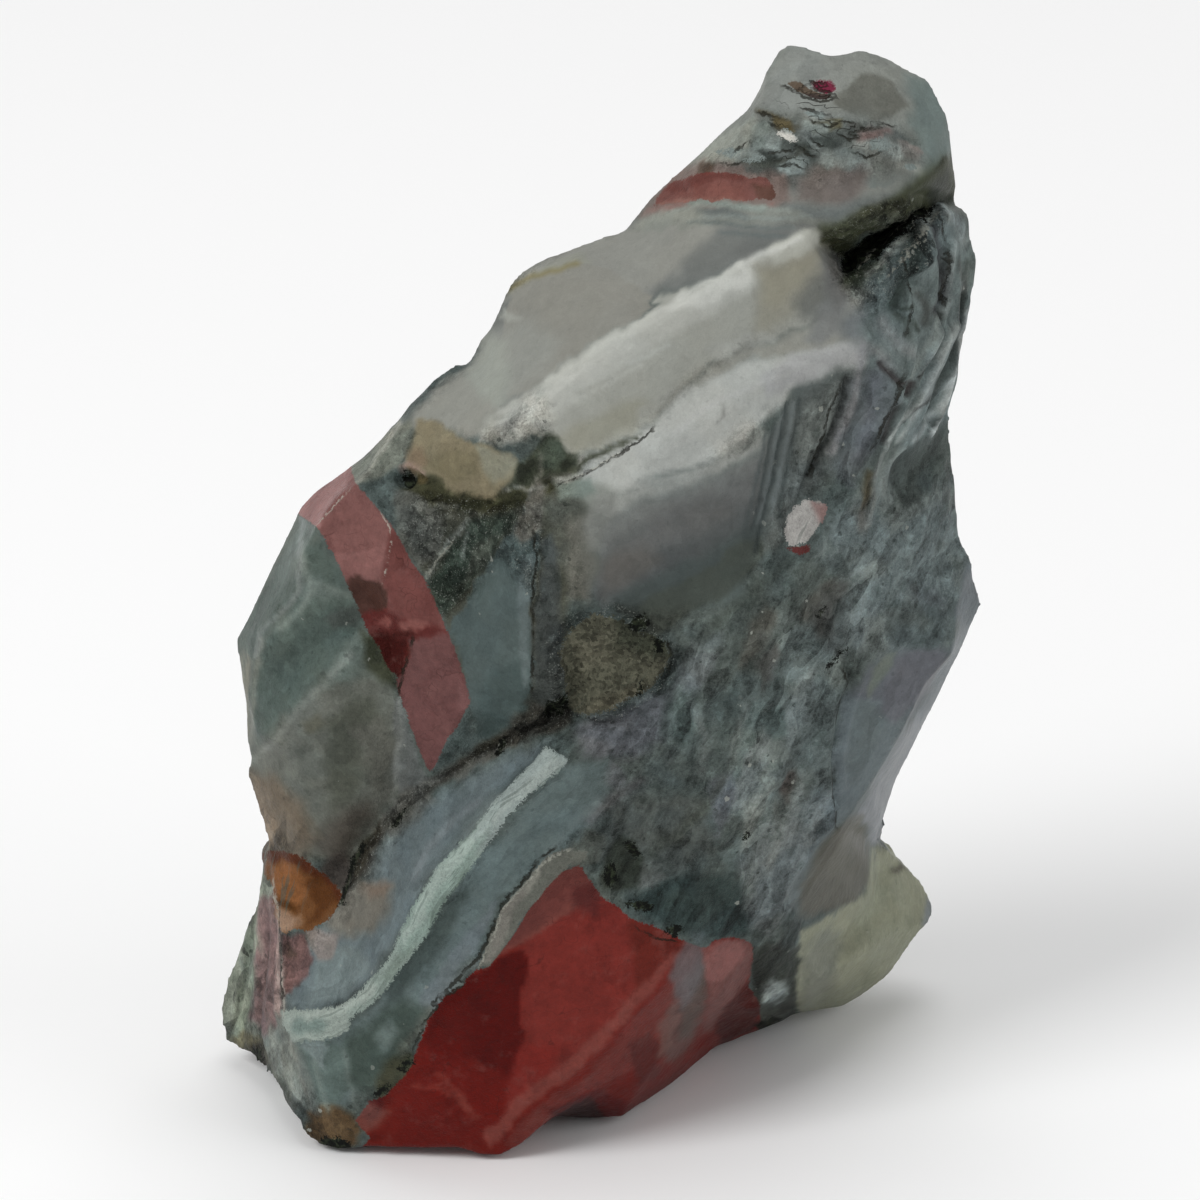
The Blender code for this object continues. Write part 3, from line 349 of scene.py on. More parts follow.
# Edges of ribs and layers: a drawn line, how far the lower ground to its right reaches, and its depth.
LEDGES = [
    ([(34.2, 92.4), (33.2, 86.7), (33.4, 83.2), (32.5, 79.7), (30.5, 76.2), (28.5, 72.7), (27.0, 68.7),
      (25.0, 64.7)], 2.4, -1.1),
    ([(35.8, 92.2), (35.7, 84.7), (35.5, 81.2), (34.5, 78.2), (32.5, 75.2), (31.0, 72.7),
    (29.0, 69.7)], 1.8, -0.8),
    ([(30.4, 87.7), (31.2, 82.7), (30.5, 79.7), (29.0, 75.7), (28.0, 72.7), (26.0, 69.7)], 2.0, -0.8),
    ([(26.5, 79.7), (25.0, 75.7), (23.5, 71.7), (21.5, 68.7), (20.5, 65.7), (17.0, 61.0)], 2.6, 0.8),
    ([(23.4, 77.7), (21.5, 72.7), (19.6, 68.7), (18.6, 63.7)], 2.0, 0.5),
    ([(-33.6, 29.7), (-34.5, 23.7), (-35.5, 19.7), (-36.0, 15.7), (-36.4, 11.6)], 1.6, 0.8),
    ([(-32.6, 27.7), (-33.2, 20.7), (-33.8, 15.7), (-34.0, 12.2), (-32.5, 8.2),
    (-30.0, 3.2)], 1.6, 0.8),
    ([(-35.0, 25.2), (-36.2, 20.7), (-37.2, 14.7)], 1.2, 0.6),
    ([(24.6, 52.0), (24.7, 47.7), (23.4, 45.2), (22.9, 41.2), (23.1, 36.7), (24.4, 32.4)], 3.0, -0.7),
    ([(-17.4, 14.4), (-12.4, 19.6), (-10.2, 25.2), (-6.8, 28.9), (-2.8, 31.4)], 2.4, -0.9),
    ([(-20.4, 63.9), (-19.0, 61.7), (-19.2, 59.0), (-22.0, 57.6)], 1.8, 0.5),
    ([(14.0, 31.9), (18.5, 38.0), (21.5, 44.0), (23.0, 52.0)], 3.0, 0.5),
    ([(8.5, 30.0), (11.0, 39.0), (16.0, 50.0), (18.0, 58.0)], 3.0, -0.45),
]

# Pits and shallow round scars: where they are drawn, how wide and how deep.
PITS = [
    (-19.5, 67.9, 1.1, 1.6), (31.0, 68.7, 2.6, 0.8), (2.2, 29.0, 2.2, 0.9), (6.5, 25.7, 3.0, 0.5),
    (-20.0, 9.9, 1.1, 0.9), (-4.5, 43.6, 1.5, 0.8), (21.5, 101.6, 1.0, 0.5), (21.5, 106.8, 1.6, 0.6),
]


def sight_axes():
    """The drawing's right and up directions, and the eye."""
    right = Vector((1, 0, 0))
    up = Vector((0, math.sin(VIEW_ELEVATION), math.cos(VIEW_ELEVATION)))
    back = Vector((0, -math.cos(VIEW_ELEVATION), math.sin(VIEW_ELEVATION)))
    aim = Vector((0, 0, AXIS_HEIGHT))
    return right, up, aim, aim + back * VIEW_DISTANCE


def place(x, h, depth):
    """The place of a drawn point: where its line of sight is depth behind the origin's plane."""
    right, up, aim, eye = sight_axes()
    drawn = aim + right * x + up * (h - AXIS_DRAWN_HEIGHT)
    sight = drawn - eye
    return eye + sight * ((depth - eye.y) / sight.y)


def drawn(point):
    """Where a place is seen on the drawing, as (x, h)."""
    right, up, aim, eye = sight_axes()
    sight = point - eye
    along = (aim - eye).normalized()
    sight *= VIEW_DISTANCE / sight.dot(along)
    offset = eye + sight - aim
    return Vector((offset.dot(right), offset.dot(up) + AXIS_DRAWN_HEIGHT))


def sheet(rim, lines, points):
    """The triangles of one side: rim, lines and points joined as they are seen on the drawing."""
    places = []
    index = {}

    def number(point):
        key = tuple(round(c, 3) for c in point)
        if key not in index:
            index[key] = len(places)
            places.append(point)
        return index[key]

    loop = [number(p) for p in rim]
    edges = [(a, b) for a, b in zip(loop, loop[1:] + loop[:1])]
    for line in lines:
        ends = [number(p) for p in line]
        edges += list(zip(ends, ends[1:]))
    for point in points:
        number(point)
    flat = [drawn(p) for p in places]
    found = delaunay_2d_cdt(flat, edges, [], 1, 1e-5, True)
    if len(found[0]) != len(places):
        crossed = [tuple(found[0][i]) for i, origin in enumerate(found[3]) if not origin]
        raise ValueError(f"two lines cross, or two points meet, near {crossed}")
    order = [origin[0] for origin in found[3]]
    faces = [[order[i] for i in face] for face in found[2]]
    outline = [flat[i] for i in loop]
    middles = [sum((flat[i] for i in face), Vector((0, 0))) / 3 for face in faces]
    return places, [face for face, middle in zip(faces, middles) if inside(middle, outline)]


def inside(point, outline):
    """Whether a drawn point lies within a closed line."""
    crossings = 0
    for a, b in zip(outline, outline[1:] + outline[:1]):
        if (a.y > point.y) != (b.y > point.y):
            crossings += point.x < a.x + (b.x - a.x) * (point.y - a.y) / (b.y - a.y)
    return crossings % 2 == 1


def shoulder_points(outline, foot):
    """Points a little within the outline and behind it, so that the back turns away from the rim."""
    flat = [Vector(p[:2]) for p in outline]
    foot_flat = [drawn(p) for p in foot]
    kept = []
    for i in range(0, len(flat), 2):
        before, after = flat[i - 3], flat[(i + 3) % len(flat)]
        inward = Vector((after.y - before.y, before.x - after.x)).normalized()
        spot = flat[i] + inward * SHOULDER_INSET
        clear = all((spot - other).length > SHOULDER_INSET * 0.8 for other in flat)
        if clear and inside(spot, flat) and not inside(spot, foot_flat):
            kept.append((spot.x, spot.y, outline[i][2] + SHOULDER_DEPTH))
    return kept


def build_cage():
    """The closed cage of flat facets, with 1 on the front's vertices in the layer front and 0 behind."""
    rim = [place(*p) for p in OUTLINE]
    front = sheet(rim, [[place(*p) for p in line] for line in FRONT_LINES.values()],
                  [place(*p) for p in FRONT_POINTS])
    foot = [Vector(p) for p in FOOT]
    shoulder = [place(*p) for p in shoulder_points(OUTLINE, foot)]
    back = sheet(rim, [[Vector(p) for p in line] for line in BACK_LINES.values()] + [foot + foot[:1]],
                 [Vector(p) for p in BACK_POINTS] + shoulder)
    mesh = bmesh.new()
    layer = mesh.verts.layers.float.new("front")
    shared = {}
    for (places, faces), side in ((front, 1.0), (back, 0.0)):
        verts = []
        for spot in places:
            key = tuple(round(c, 3) for c in spot)
            if key not in shared:
                shared[key] = mesh.verts.new(spot)
                shared[key][layer] = side
            verts.append(shared[key])
        for face in faces:
            mesh.faces.new([verts[i] for i in face])
    bmesh.ops.recalc_face_normals(mesh, faces=mesh.faces)
    return mesh


def points_of(mesh):
    """Where a mesh's vertices are, as an array."""
    flat = np.empty(len(mesh.vertices) * 3)
    mesh.vertices.foreach_get("co", flat)
    return flat.reshape(-1, 3)


def distance_to(points, line):
    """Each point's distance to a line of straight pieces."""
    nearest = np.full(len(points), np.inf)
    ends = np.array(line)
    for a, b in zip(ends, ends[1:]):
        along = b - a
        share = np.clip((points - a) @ along / (along @ along), 0, 1)
        nearest = np.minimum(nearest, np.linalg.norm(points - a - share[:, None] * along, axis=1))
    return nearest


def edges_of(mesh):
    """Which two vertices each edge joins, as an array."""
    flat = np.empty(len(mesh.edges) * 2, dtype=np.int64)
    mesh.edges.foreach_get("vertices", flat)
    return flat.reshape(-1, 2)


def soften(points, edges, freedom, rounds):
    """Rounds off what isn't an arris: each vertex moves toward its neighbours as far as it is free to."""
    for _ in range(rounds):
        points = points + (neighbour_mean(points, edges) - points) * freedom[:, None] * 0.5
    return points


def drawn_points(points):
    """Where many places are seen on the drawing, and how squarely."""
    right, up, aim, eye = (np.array(v) for v in sight_axes())
    sight = points - eye
    reach = VIEW_DISTANCE / (sight @ ((aim - eye) / VIEW_DISTANCE))
    offset = sight * reach[:, None] + eye - aim
    return np.stack([offset @ right, offset @ up + AXIS_DRAWN_HEIGHT], axis=1)


def outward(points, mesh):
    """Each vertex's outward direction."""
    mesh.vertices.foreach_set("co", points.ravel())
    mesh.update()
    flat = np.empty(len(points) * 3)
    mesh.vertices.foreach_get("normal", flat)
    return flat.reshape(-1, 3)


def wander(points, cell, seed):
    """Smooth random hills between -1 and 1, one or two cells across."""
    table = np.random.default_rng(seed).uniform(-1, 1, (32, 32, 32))
    spot = points / cell + 7.31
    corner = np.floor(spot).astype(int)
    share = spot - corner
    share = share * share * (3 - 2 * share)
    height = np.zeros(len(points))
    for step in np.ndindex(2, 2, 2):
        weight = np.prod(np.where(step, share, 1 - share), axis=1)
        height += weight * table[tuple(((corner + step) % 32).T)]
    return height


def wanders(points, cell, *seeds):
    """Several such hills, side by side."""
    return np.stack([wander(points, cell, seed) for seed in seeds], axis=1)


def below_ledge(spots, line, width):
    """1 just to the right of a drawn line, falling away over its width and toward the line's ends."""
    ends = np.array(line)
    lengths = np.linalg.norm(np.diff(ends, axis=0), axis=1)
    nearest = np.full(len(spots), np.inf)
    depth = np.zeros(len(spots))
    for a, b, before in zip(ends, ends[1:], np.cumsum(lengths) - lengths):
        along = (b - a) / np.linalg.norm(b - a)
        reach = (spots - a) @ along
        share = np.clip(reach, 0, np.linalg.norm(b - a))
        distance = np.linalg.norm(spots - a - share[:, None] * along, axis=1)
        right = (spots - a) @ np.array((along[1], -along[0]))
        closer = distance < nearest
        nearest[closer] = distance[closer]
        taper = np.sin(np.pi * np.clip((before + share) / lengths.sum(), 0, 1)) ** 0.6
        edge = np.clip(right / 0.5 + 0.5, 0, 1)
        depth[closer] = (edge * taper * np.exp(-distance / width))[closer]
    return depth


def stand_flat(mesh):
    """Cuts the stone level at the ground and closes the cut."""
    solid = bmesh.new()
    solid.from_mesh(mesh)
    everything = solid.verts[:] + solid.edges[:] + solid.faces[:]
    cut = bmesh.ops.bisect_plane(solid, geom=everything, dist=1e-6, plane_co=(0, 0, 0), plane_no=(0, 0, 1),
                                 clear_inner=True)
    rim = [part for part in cut["geom_cut"] if isinstance(part, bmesh.types.BMEdge)]
    bmesh.ops.holes_fill(solid, edges=rim)
    bmesh.ops.triangulate(solid, faces=solid.faces)
    solid.to_mesh(mesh)
    solid.free()


# Soft colours of the stone: a tone, how soft its border is, how strong it is, and its outline. The tones are
# partly the stone's own colour and partly painted light and shade on its facets.
GROUND_TONE = (74, 84, 82)
GROUND = [
    # Crown
    ((124, 128, 123), 12, 1,
     "640,225 655,190 700,130 770,70 785,30 860,40 930,60 970,130 970,215 900,225 840,230 760,225"),
    ((124, 128, 124), 10, 0.9, "745,120 760,80 785,40 860,45 900,65 850,75 830,110 780,115"),
    ((97, 99, 93), 2, 1,
     "857,81 874,76 889,81 898,96 905,108 892,120 870,121 850,116 838,108 836,100 846,90"),
    ((107, 119, 116), 8, 1, "905,75 930,80 948,105 956,160 950,178 925,190 905,180 915,150 912,120"),
    ((93, 99, 96), 14, 0.95,
     "700,150 740,125 770,112 820,118 880,122 915,135 925,160 880,178 840,170 800,185 770,182 740,172 "
     "705,170"),
    ((130, 138, 132), 1.5, 0.9, "700,166 716,148 738,126 752,116 756,128 746,146 726,160 712,172"),
    ((142, 144, 136), 1.5, 0.8, "706,158 722,142 736,130 740,138 726,152 712,164"),
    ((116, 126, 122), 1.2, 0.9, "742,132 756,124 770,128 778,140 766,150 750,150"),
    ((88, 80, 56), 1.5, 0.9, "772,117 784,119 796,122 800,130 790,133 776,128"),
    ((90, 86, 64), 1.5, 0.8, "808,118 822,120 838,122 840,131 824,132 810,128"),
    ((140, 147, 143), 1.2, 0.8, "805,112 818,111 830,115 826,119 810,118"),
    ((74, 80, 77), 1.5, 0.9, "776,136 792,140 806,136 816,142 806,152 788,152 778,146"),
    ((120, 128, 126), 1.2, 0.8, "804,126 818,130 830,140 820,148 806,140"),
    ((66, 72, 69), 1.2, 0.8, "824,132 840,134 846,142 836,148 826,142"),
    ((104, 112, 110), 1.2, 0.8, "770,150 788,152 806,154 800,166 780,164"),
    ((78, 86, 83), 1.5, 0.9,
     "745,160 770,158 790,164 812,160 840,164 850,172 830,178 800,176 770,176 750,170"),
    ((112, 121, 119), 1.2, 0.8, "832,150 850,148 866,156 858,166 840,164"),
    ((128, 114, 110), 1.5, 0.8, "856,130 870,126 884,132 880,142 866,142"),
    ((76, 78, 74), 1.2, 0.8, "844,124 858,122 866,128 856,134"),
    ((118, 127, 125), 1.5, 0.8, "868,142 886,140 898,150 890,162 872,158"),
    ((126, 116, 112), 1.5, 0.8, "898,140 912,144 922,152 916,162 902,156"),
    ((86, 92, 90), 1.2, 0.8, "884,126 902,130 910,140 896,142"),
    ((152, 156, 151), 1, 0.8, "901,165 910,161 921,166 914,171 904,171"),
    ((110, 120, 118), 1.5, 0.8, "850,174 872,166 894,170 900,180 876,188 856,186"),
    ((138, 142, 134), 6, 1, "680,180 700,150 730,125 755,120 745,150 720,172"),
    ((108, 112, 108), 8, 0.7, "860,150 900,140 925,160 915,180 880,185"),
    ((108, 102, 98), 8, 1, "795,178 815,165 850,165 872,172 868,190 850,204 820,206 795,200"),
    ((98, 104, 103), 8, 0.9, "780,205 830,206 880,196 915,180 905,200 870,215 835,226 790,226"),
    ((112, 96, 90), 6, 0.85, "640,216 652,194 672,174 700,164 745,164 786,174 790,202 764,212 700,213"),
    ((124, 96, 90), 4, 0.9,
     "644,214 654,206 680,203 720,203 760,205 772,202 770,210 742,212 700,212 668,214"),
    ((136, 145, 141), 1.5, 0.9, "720,151 734,147 748,149 757,156 744,160 730,158"),
    ((134, 144, 141), 1.5, 0.9, "765,138 777,134 785,141 781,150 768,148"),
    ((132, 142, 139), 1.5, 0.9, "806,118 820,117 834,124 830,132 817,130 808,126"),
    ((56, 62, 59), 1.5, 0.9, "758,150 772,152 786,158 780,163 764,159"),
    ((58, 64, 61), 1.5, 0.9, "792,141 806,143 812,150 800,154 790,149"),
    ((62, 68, 65), 1.5, 0.9, "812,134 830,137 842,146 834,151 818,144"),
    ((126, 136, 134), 1.5, 0.9, "782,163 796,158 806,162 802,171 790,175 781,171"),
    ((64, 70, 67), 1.5, 0.8, "800,150 812,152 816,160 806,163"),
    ((126, 135, 132), 1.5, 0.8, "818,150 832,154 838,163 828,168 818,162"),
    ((70, 74, 70), 1.5, 0.8, "840,132 852,134 862,142 850,146"),
    ((134, 140, 136), 1.5, 0.8, "852,141 866,139 876,146 866,152 854,149"),
    ((76, 80, 77), 1.5, 0.8, "864,128 880,126 890,133 876,136"),
    ((134, 142, 139), 1.5, 0.8, "886,146 898,148 904,158 894,164 886,156"),
    ((66, 72, 69), 1.5, 0.7, "742,166 756,164 768,168 760,174 746,172"),
    ((122, 131, 128), 1.5, 0.7, "842,160 856,158 866,164 856,170 844,167"),
    ((72, 60, 50), 1.5, 0.8, "698,166 708,160 714,166 706,173 698,172"),
    ((96, 78, 66), 1.5, 0.8, "702,167 708,163 711,167 706,171"),
    # Dark wedge at the crown's top right: partly its dark green and partly painted shade on a facet turned
    # away from the light.
    ((56, 60, 54), 1.5, 1, "890,221 900,206 920,189 931,169 946,156 954,165 957,200 938,210 911,214"),
    ((50, 54, 47), 3, 0.6, "912,190 935,166 956,150 962,190 956,206 935,208 905,202"),
    # Shoulder: its pale tones are partly painted light on the upward-facing tops and on the strip turned to
    # the upper left
    ((108, 111, 108), 8, 1,
     "470,365 500,295 540,265 640,215 700,212 830,222 830,240 740,262 655,302 600,340 540,395 480,437 "
     "430,430 400,425"),
    ((131, 132, 126), 8, 1,
     "500,300 520,270 560,250 610,232 640,222 690,214 720,226 700,252 660,284 640,296 600,282 560,275 "
     "520,290"),
    ((121, 125, 118), 3, 0.8, "630,227 684,208 747,203 798,211 824,224 779,227 725,224 652,230"),
    ((102, 105, 102), 14, 0.7, "690,262 730,235 800,226 836,232 812,234 760,252 715,275 680,292"),
    ((134, 136, 126), 3, 0.8, "511,290 545,268 580,256 592,262 580,268 545,280 514,296"),
    ((128, 128, 121), 1.5, 1,
     "511,289 542,275 580,262 616,275 656,298 631,322 598,342 569,362 551,376 529,395 512,398 506,345 "
     "507,307"),
    ((134, 136, 130), 14, 0.9, "500,330 530,320 560,345 545,375 512,398 480,415 470,370"),
    ((142, 146, 138), 9, 0.9, "474,365 488,330 508,345 512,398 490,425 452,430 440,400"),
    ((150, 153, 146), 3, 0.8, "503,308 512,312 525,319 510,322 498,316"),
    ((134, 135, 128), 6, 1, "405,432 440,385 462,372 480,395 500,410 480,438 445,434"),
    ((112, 116, 106), 4, 0.9, "350,470 380,440 412,420 410,450 400,465 385,475 362,482 345,492"),
    # White bands and the trough between them
    ((137, 138, 131), 8, 1,
     "840,270 824,304 809,322 769,340 715,355 685,391 649,424 600,455 560,450 560,478 600,462 650,436 "
     "693,395 750,362 860,345 868,300"),
    ((149, 151, 144), 2.5, 1,
     "812,228 780,242 751,256 722,271 693,285 664,298 631,322 598,342 569,362 551,376 529,395 500,409 "
     "478,432 482,444 516,440 547,434 572,452 600,452 640,430 664,409 685,391 715,355 769,340 809,322 "
     "824,304 838,282 834,252 826,238"),
    # The whiter strip and patch along the band's upper crest: the band's own white with a painted highlight
    # on the crest.
    ((166, 168, 162), 5, 0.95,
     "806,236 780,246 751,260 722,276 693,290 664,303 631,327 598,347 569,367 547,384 524,402 500,412 "
     "520,426 548,416 575,396 610,378 640,360 668,336 700,318 735,300 752,288 770,262 800,252 816,246"),
    ((192, 194, 188), 5, 0.9, "756,262 735,272 706,286 680,298 668,308 690,306 716,300 744,286 760,272"),
    ((141, 140, 128), 9, 0.9,
     "758,262 790,250 822,246 834,258 836,280 822,300 800,314 770,330 756,338 756,300"),
    ((178, 180, 171), 5, 0.85, "768,248 798,233 816,234 824,244 802,257 772,263"),
    ((146, 142, 122), 9, 0.35, "764,270 800,258 816,262 806,290 776,306 762,300"),
    ((139, 139, 126), 8, 0.8, "560,440 576,424 610,410 640,398 655,404 634,426 604,446 576,452"),
    ((160, 162, 156), 4, 0.7, "500,412 530,405 556,400 566,414 540,428 500,436"),
    ((158, 160, 155), 3, 0.6, "700,352 730,338 762,330 780,336 752,350 718,360"),
    ((150, 152, 147), 3, 0.5, "640,408 668,392 690,380 690,392 660,410 642,420"),
    ((163, 166, 162), 5, 1,
     "862,342 800,350 750,360 693,386 664,411 634,437 600,457 577,476 566,492 600,494 631,490 656,474 "
     "693,468 729,452 758,427 780,408 795,390 824,376 862,364"),
    ((158, 160, 160), 6, 0.9, "790,352 850,344 866,350 856,362 824,374 792,388 770,400 760,380"),
    ((121, 126, 120), 10, 1, "560,486 598,482 628,494 612,516 594,528 566,520"),
    ((104, 110, 112), 10, 0.9, "836,318 868,300 896,330 888,352 866,350 842,340"),
    ((98, 101, 98), 9, 0.75, "796,304 812,284 832,262 848,290 842,318 820,322 800,316"),
    ((92, 95, 93), 8, 0.7, "728,252 752,236 790,223 806,227 780,240 748,258"),
    # Lens of grey under the lower white band
    ((146, 149, 145), 9, 0.9,
     "596,496 640,486 690,474 728,452 758,430 770,440 740,462 700,486 650,502 612,520"),
    ((112, 116, 114), 8, 1,
     "600,520 640,504 690,488 736,466 770,440 790,404 796,420 776,470 740,494 690,510 640,526 600,560"),
    # Round the crevice: olive tone, darkened as painted shade about the crevice.
    ((60, 64, 46), 4, 1,
     "822,230 846,222 872,208 905,196 930,190 925,204 890,216 862,232 846,250 838,262 828,250"),
    ((84, 88, 80), 5, 0.9, "866,222 890,206 912,200 908,210 884,222"),
    ((118, 123, 118), 4, 1,
     "846,284 868,276 890,262 910,246 930,226 940,216 944,226 926,250 905,274 880,296 860,302 848,296"),
    ((52, 60, 54), 4, 0.9, "846,276 862,268 872,272 866,290 850,290"),
    ((116, 119, 118), 7, 0.9, "824,250 838,256 848,290 842,330 822,344 806,340 818,316 830,290"),
    ((98, 99, 97), 5, 0.8, "830,264 842,270 846,296 838,310 828,296"),
    # Broad face
    ((94, 96, 95), 14, 1,
     "610,545 660,505 720,490 765,460 770,500 730,530 680,550 640,580 600,600 590,580"),
    ((80, 84, 84), 10, 1,
     "596,592 640,560 690,538 740,510 772,486 768,520 740,546 690,562 640,590 604,606"),
    ((67, 75, 74), 10, 1,
     "604,604 640,586 690,560 740,530 768,510 762,560 745,598 700,610 640,618 610,616"),
    ((90, 88, 84), 8, 0.7, "600,560 640,545 660,560 630,585 604,600"),
    ((86, 93, 92), 10, 1,
     "765,460 800,385 850,365 880,360 870,420 830,470 800,510 780,545 760,555 768,500"),
    ((98, 110, 110), 8, 1,
     "850,240 910,225 940,212 972,250 972,330 950,420 900,450 870,380 860,330 868,290"),
    ((83, 90, 92), 8, 1, "842,380 880,358 890,400 872,450 845,490 830,470"),
    ((104, 115, 115), 14, 1,
     "840,500 880,470 905,500 950,480 972,560 950,640 900,690 850,640 820,600 810,550"),
    ((66, 75, 74), 2.5, 1, "887,466 904,449 928,436 941,439 938,459 931,483 911,503 898,496"),
    ((113, 122, 120), 4, 0.8, "872,500 880,465 900,445 888,470 882,500"),
    ((70, 66, 50), 4, 0.9, "855,490 866,468 872,472 866,498 858,508"),
    ((94, 86, 78), 5, 0.5, "850,505 862,500 864,525 855,532"),
    ((82, 92, 90), 16, 1,
     "600,720 670,620 760,560 840,560 850,650 830,760 780,830 720,860 650,860 600,800"),
    ((100, 111, 110), 12, 0.9, "776,610 830,620 848,640 838,700 822,740 790,720 776,660"),
    ((70, 80, 79), 12, 0.9, "660,760 720,740 740,790 710,830 650,820"),
    ((92, 101, 100), 12, 0.8, "735,745 790,690 835,700 828,760 835,820 790,850 750,830"),
    ((62, 69, 66), 8, 0.9, "600,612 640,600 690,600 680,628 655,630 630,618"),
    ((94, 99, 104), 9, 1,
     "846,706 854,690 866,672 884,658 908,650 940,645 950,650 925,695 900,725 870,722"),
    ((114, 124, 124), 3, 0.8, "744,740 760,716 772,724 762,760 748,796 736,812 730,800"),
    ((64, 76, 74), 4, 0.7, "664,700 684,690 700,700 694,730 676,744 662,730"),
    ((102, 112, 112), 3, 0.8, "690,640 706,628 722,632 716,660 700,690 688,694 682,672"),
    ((64, 74, 73), 3, 0.8, "716,700 732,684 742,694 736,722 722,744 712,736"),
    ((108, 118, 118), 2.5, 0.8, "786,700 800,676 814,668 812,696 800,730 790,748 782,736"),
    ((124, 132, 128), 5, 0.85, "742,800 764,786 778,806 770,836 756,858 744,850"),
    ((102, 114, 118), 12, 0.9, "800,800 830,780 846,812 830,850 806,880 790,860"),
    ((118, 127, 126), 4, 0.7, "730,770 750,760 756,784 744,800 732,796"),
    ((108, 119, 122), 7, 0.85, "880,610 900,600 916,616 912,640 890,644"),
    ((78, 85, 87), 6, 0.8, "908,586 930,584 944,598 936,614 914,612"),
    ((84, 94, 93), 4, 0.7, "800,740 814,716 826,712 824,744 812,776 800,784"),
    ((102, 112, 115), 4, 1,
     "846,700 880,700 915,705 900,735 885,765 868,790 842,822 834,790 832,755 838,725"),
    ((82, 88, 88), 8, 0.6, "820,600 845,590 856,615 840,660 822,650 815,625"),
    ((88, 92, 96), 8, 1, "575,730 600,715 640,700 668,690 660,740 620,760 585,755"),
    ((108, 113, 116), 3, 0.85, "602,770 612,762 622,768 624,780 614,788 604,784"),
    ((66, 72, 66), 3, 0.8,
     "640,608 660,590 690,578 715,562 742,540 762,536 764,556 746,580 720,600 690,612 668,628 650,634"),
    ((80, 78, 72), 6, 0.6, "740,640 752,622 764,604 776,610 770,634 756,660 742,668"),
    ((96, 104, 106), 3, 0.85, "676,670 700,654 720,652 716,668 700,686 684,692 672,686"),
    ((72, 70, 68), 4, 0.6, "756,668 764,650 776,640 782,656 772,680 760,690"),
    ((100, 114, 112), 3, 0.9, "742,712 752,700 764,702 760,722 748,748 738,776 728,790 724,780 730,752"),
    ((106, 120, 118), 2, 0.8, "666,728 672,700 678,680 684,684 680,706 674,734 668,752 662,748"),
    ((74, 86, 84), 3, 0.9, "762,712 776,704 786,714 784,734 770,742 760,730"),
    ((104, 112, 108), 2, 0.9, "752,776 762,766 770,772 768,784 758,788"),
    ((66, 64, 60), 6, 0.6,
     "798,610 806,596 818,584 836,578 850,580 846,592 836,608 832,628 826,640 816,636 812,622 800,622"),
    ((104, 114, 114), 4, 0.9, "848,612 862,602 880,604 882,626 874,648 860,652 848,640"),
    ((76, 86, 86), 3, 0.8, "884,602 920,600 948,610 944,640 930,652 904,650 886,640"),
    ((104, 112, 104), 3, 0.9, "868,692 876,666 888,652 894,654 888,672 878,688 870,700"),
    ((96, 98, 103), 5, 0.9, "896,656 920,650 946,650 934,680 916,706 896,724 880,716 886,690"),
    ((84, 94, 94), 4, 0.5, "848,730 860,700 880,706 886,724 868,760 852,786 844,770"),
    ((74, 66, 62), 3, 0.7, "778,790 786,768 798,766 796,784 786,800"),
    ((98, 104, 112), 4, 0.7, "702,800 712,778 730,770 736,790 728,820 714,838 704,826"),
    ((74, 86, 86), 3, 0.9, "680,790 700,782 706,800 720,826 708,840 690,830 676,812"),
    ((108, 122, 122), 2.5, 0.8, "760,812 768,792 776,790 774,820 764,856 752,886 740,900 738,880 748,850"),
    ((112, 122, 124), 2, 0.8, "784,812 794,780 800,782 798,806 790,840 780,862 776,850"),
    ((80, 90, 90), 3, 0.8, "772,872 786,850 800,836 806,850 796,880 780,904 770,896"),
    ((112, 84, 80), 2, 0.6, "764,858 770,842 778,836 776,856 768,874"),
    ((68, 78, 76), 3, 0.8, "640,840 668,828 696,834 700,850 676,846 650,856 638,850"),
    ((96, 100, 98), 4, 0.8, "636,872 648,858 662,862 664,880 650,888 638,886"),
    ((84, 92, 88), 4, 0.8, "600,880 612,896 606,902 596,890"),
    ((80, 84, 78), 3, 0.8, "560,830 580,828 604,832 606,846 600,862 588,866 570,860"),
    ((52, 66, 66), 3, 0.9,
     "644,906 664,900 690,892 712,888 740,888 748,902 738,918 700,916 684,922 660,916"),
    ((84, 96, 98), 2.5, 0.9, "686,924 702,922 704,936 698,944 690,938"),
    # Right facet and the lump; the right facet's pale grey is partly a painted reflection of the bright
    # surroundings at a grazing angle
    ((98, 106, 110), 4, 1,
     "966,563 985,590 990,620 960,680 930,720 912,716 930,690 948,655 956,630 960,600"),
    ((116, 121, 125), 5, 1,
     "915,715 935,700 905,800 880,845 868,838 862,820 840,838 870,790 885,765 900,735"),
    ((84, 84, 76), 6, 1, "838,828 858,815 866,838 872,880 850,905 800,915 800,880 815,848"),
    ((134, 137, 118), 4, 1,
     "797,930 830,915 868,890 872,845 900,850 945,890 945,930 900,1000 800,1025 795,985"),
    ((138, 142, 124), 5, 0.8, "866,895 874,850 895,862 898,885 880,915 850,925"),
    ((108, 112, 104), 8, 0.7, "800,960 820,930 840,930 830,990 805,1008"),
    ((122, 128, 130), 3, 0.9, "918,925 925,898 938,902 940,918 925,935"),
    ((48, 53, 49), 5, 1, "750,950 768,945 798,945 796,1015 772,1030 750,1028"),
    ((134, 145, 145), 6, 1, "760,986 768,978 784,980 786,994 775,1000 762,998"),
    ((70, 76, 70), 4, 0.8, "752,1002 775,1005 790,1018 760,1030"),
    # Beige facet, moss and the hollow by the red band
    ((74, 77, 68), 5, 1,
     "396,486 410,478 450,484 520,470 566,470 580,476 578,500 572,540 572,590 564,620 560,680 556,712 "
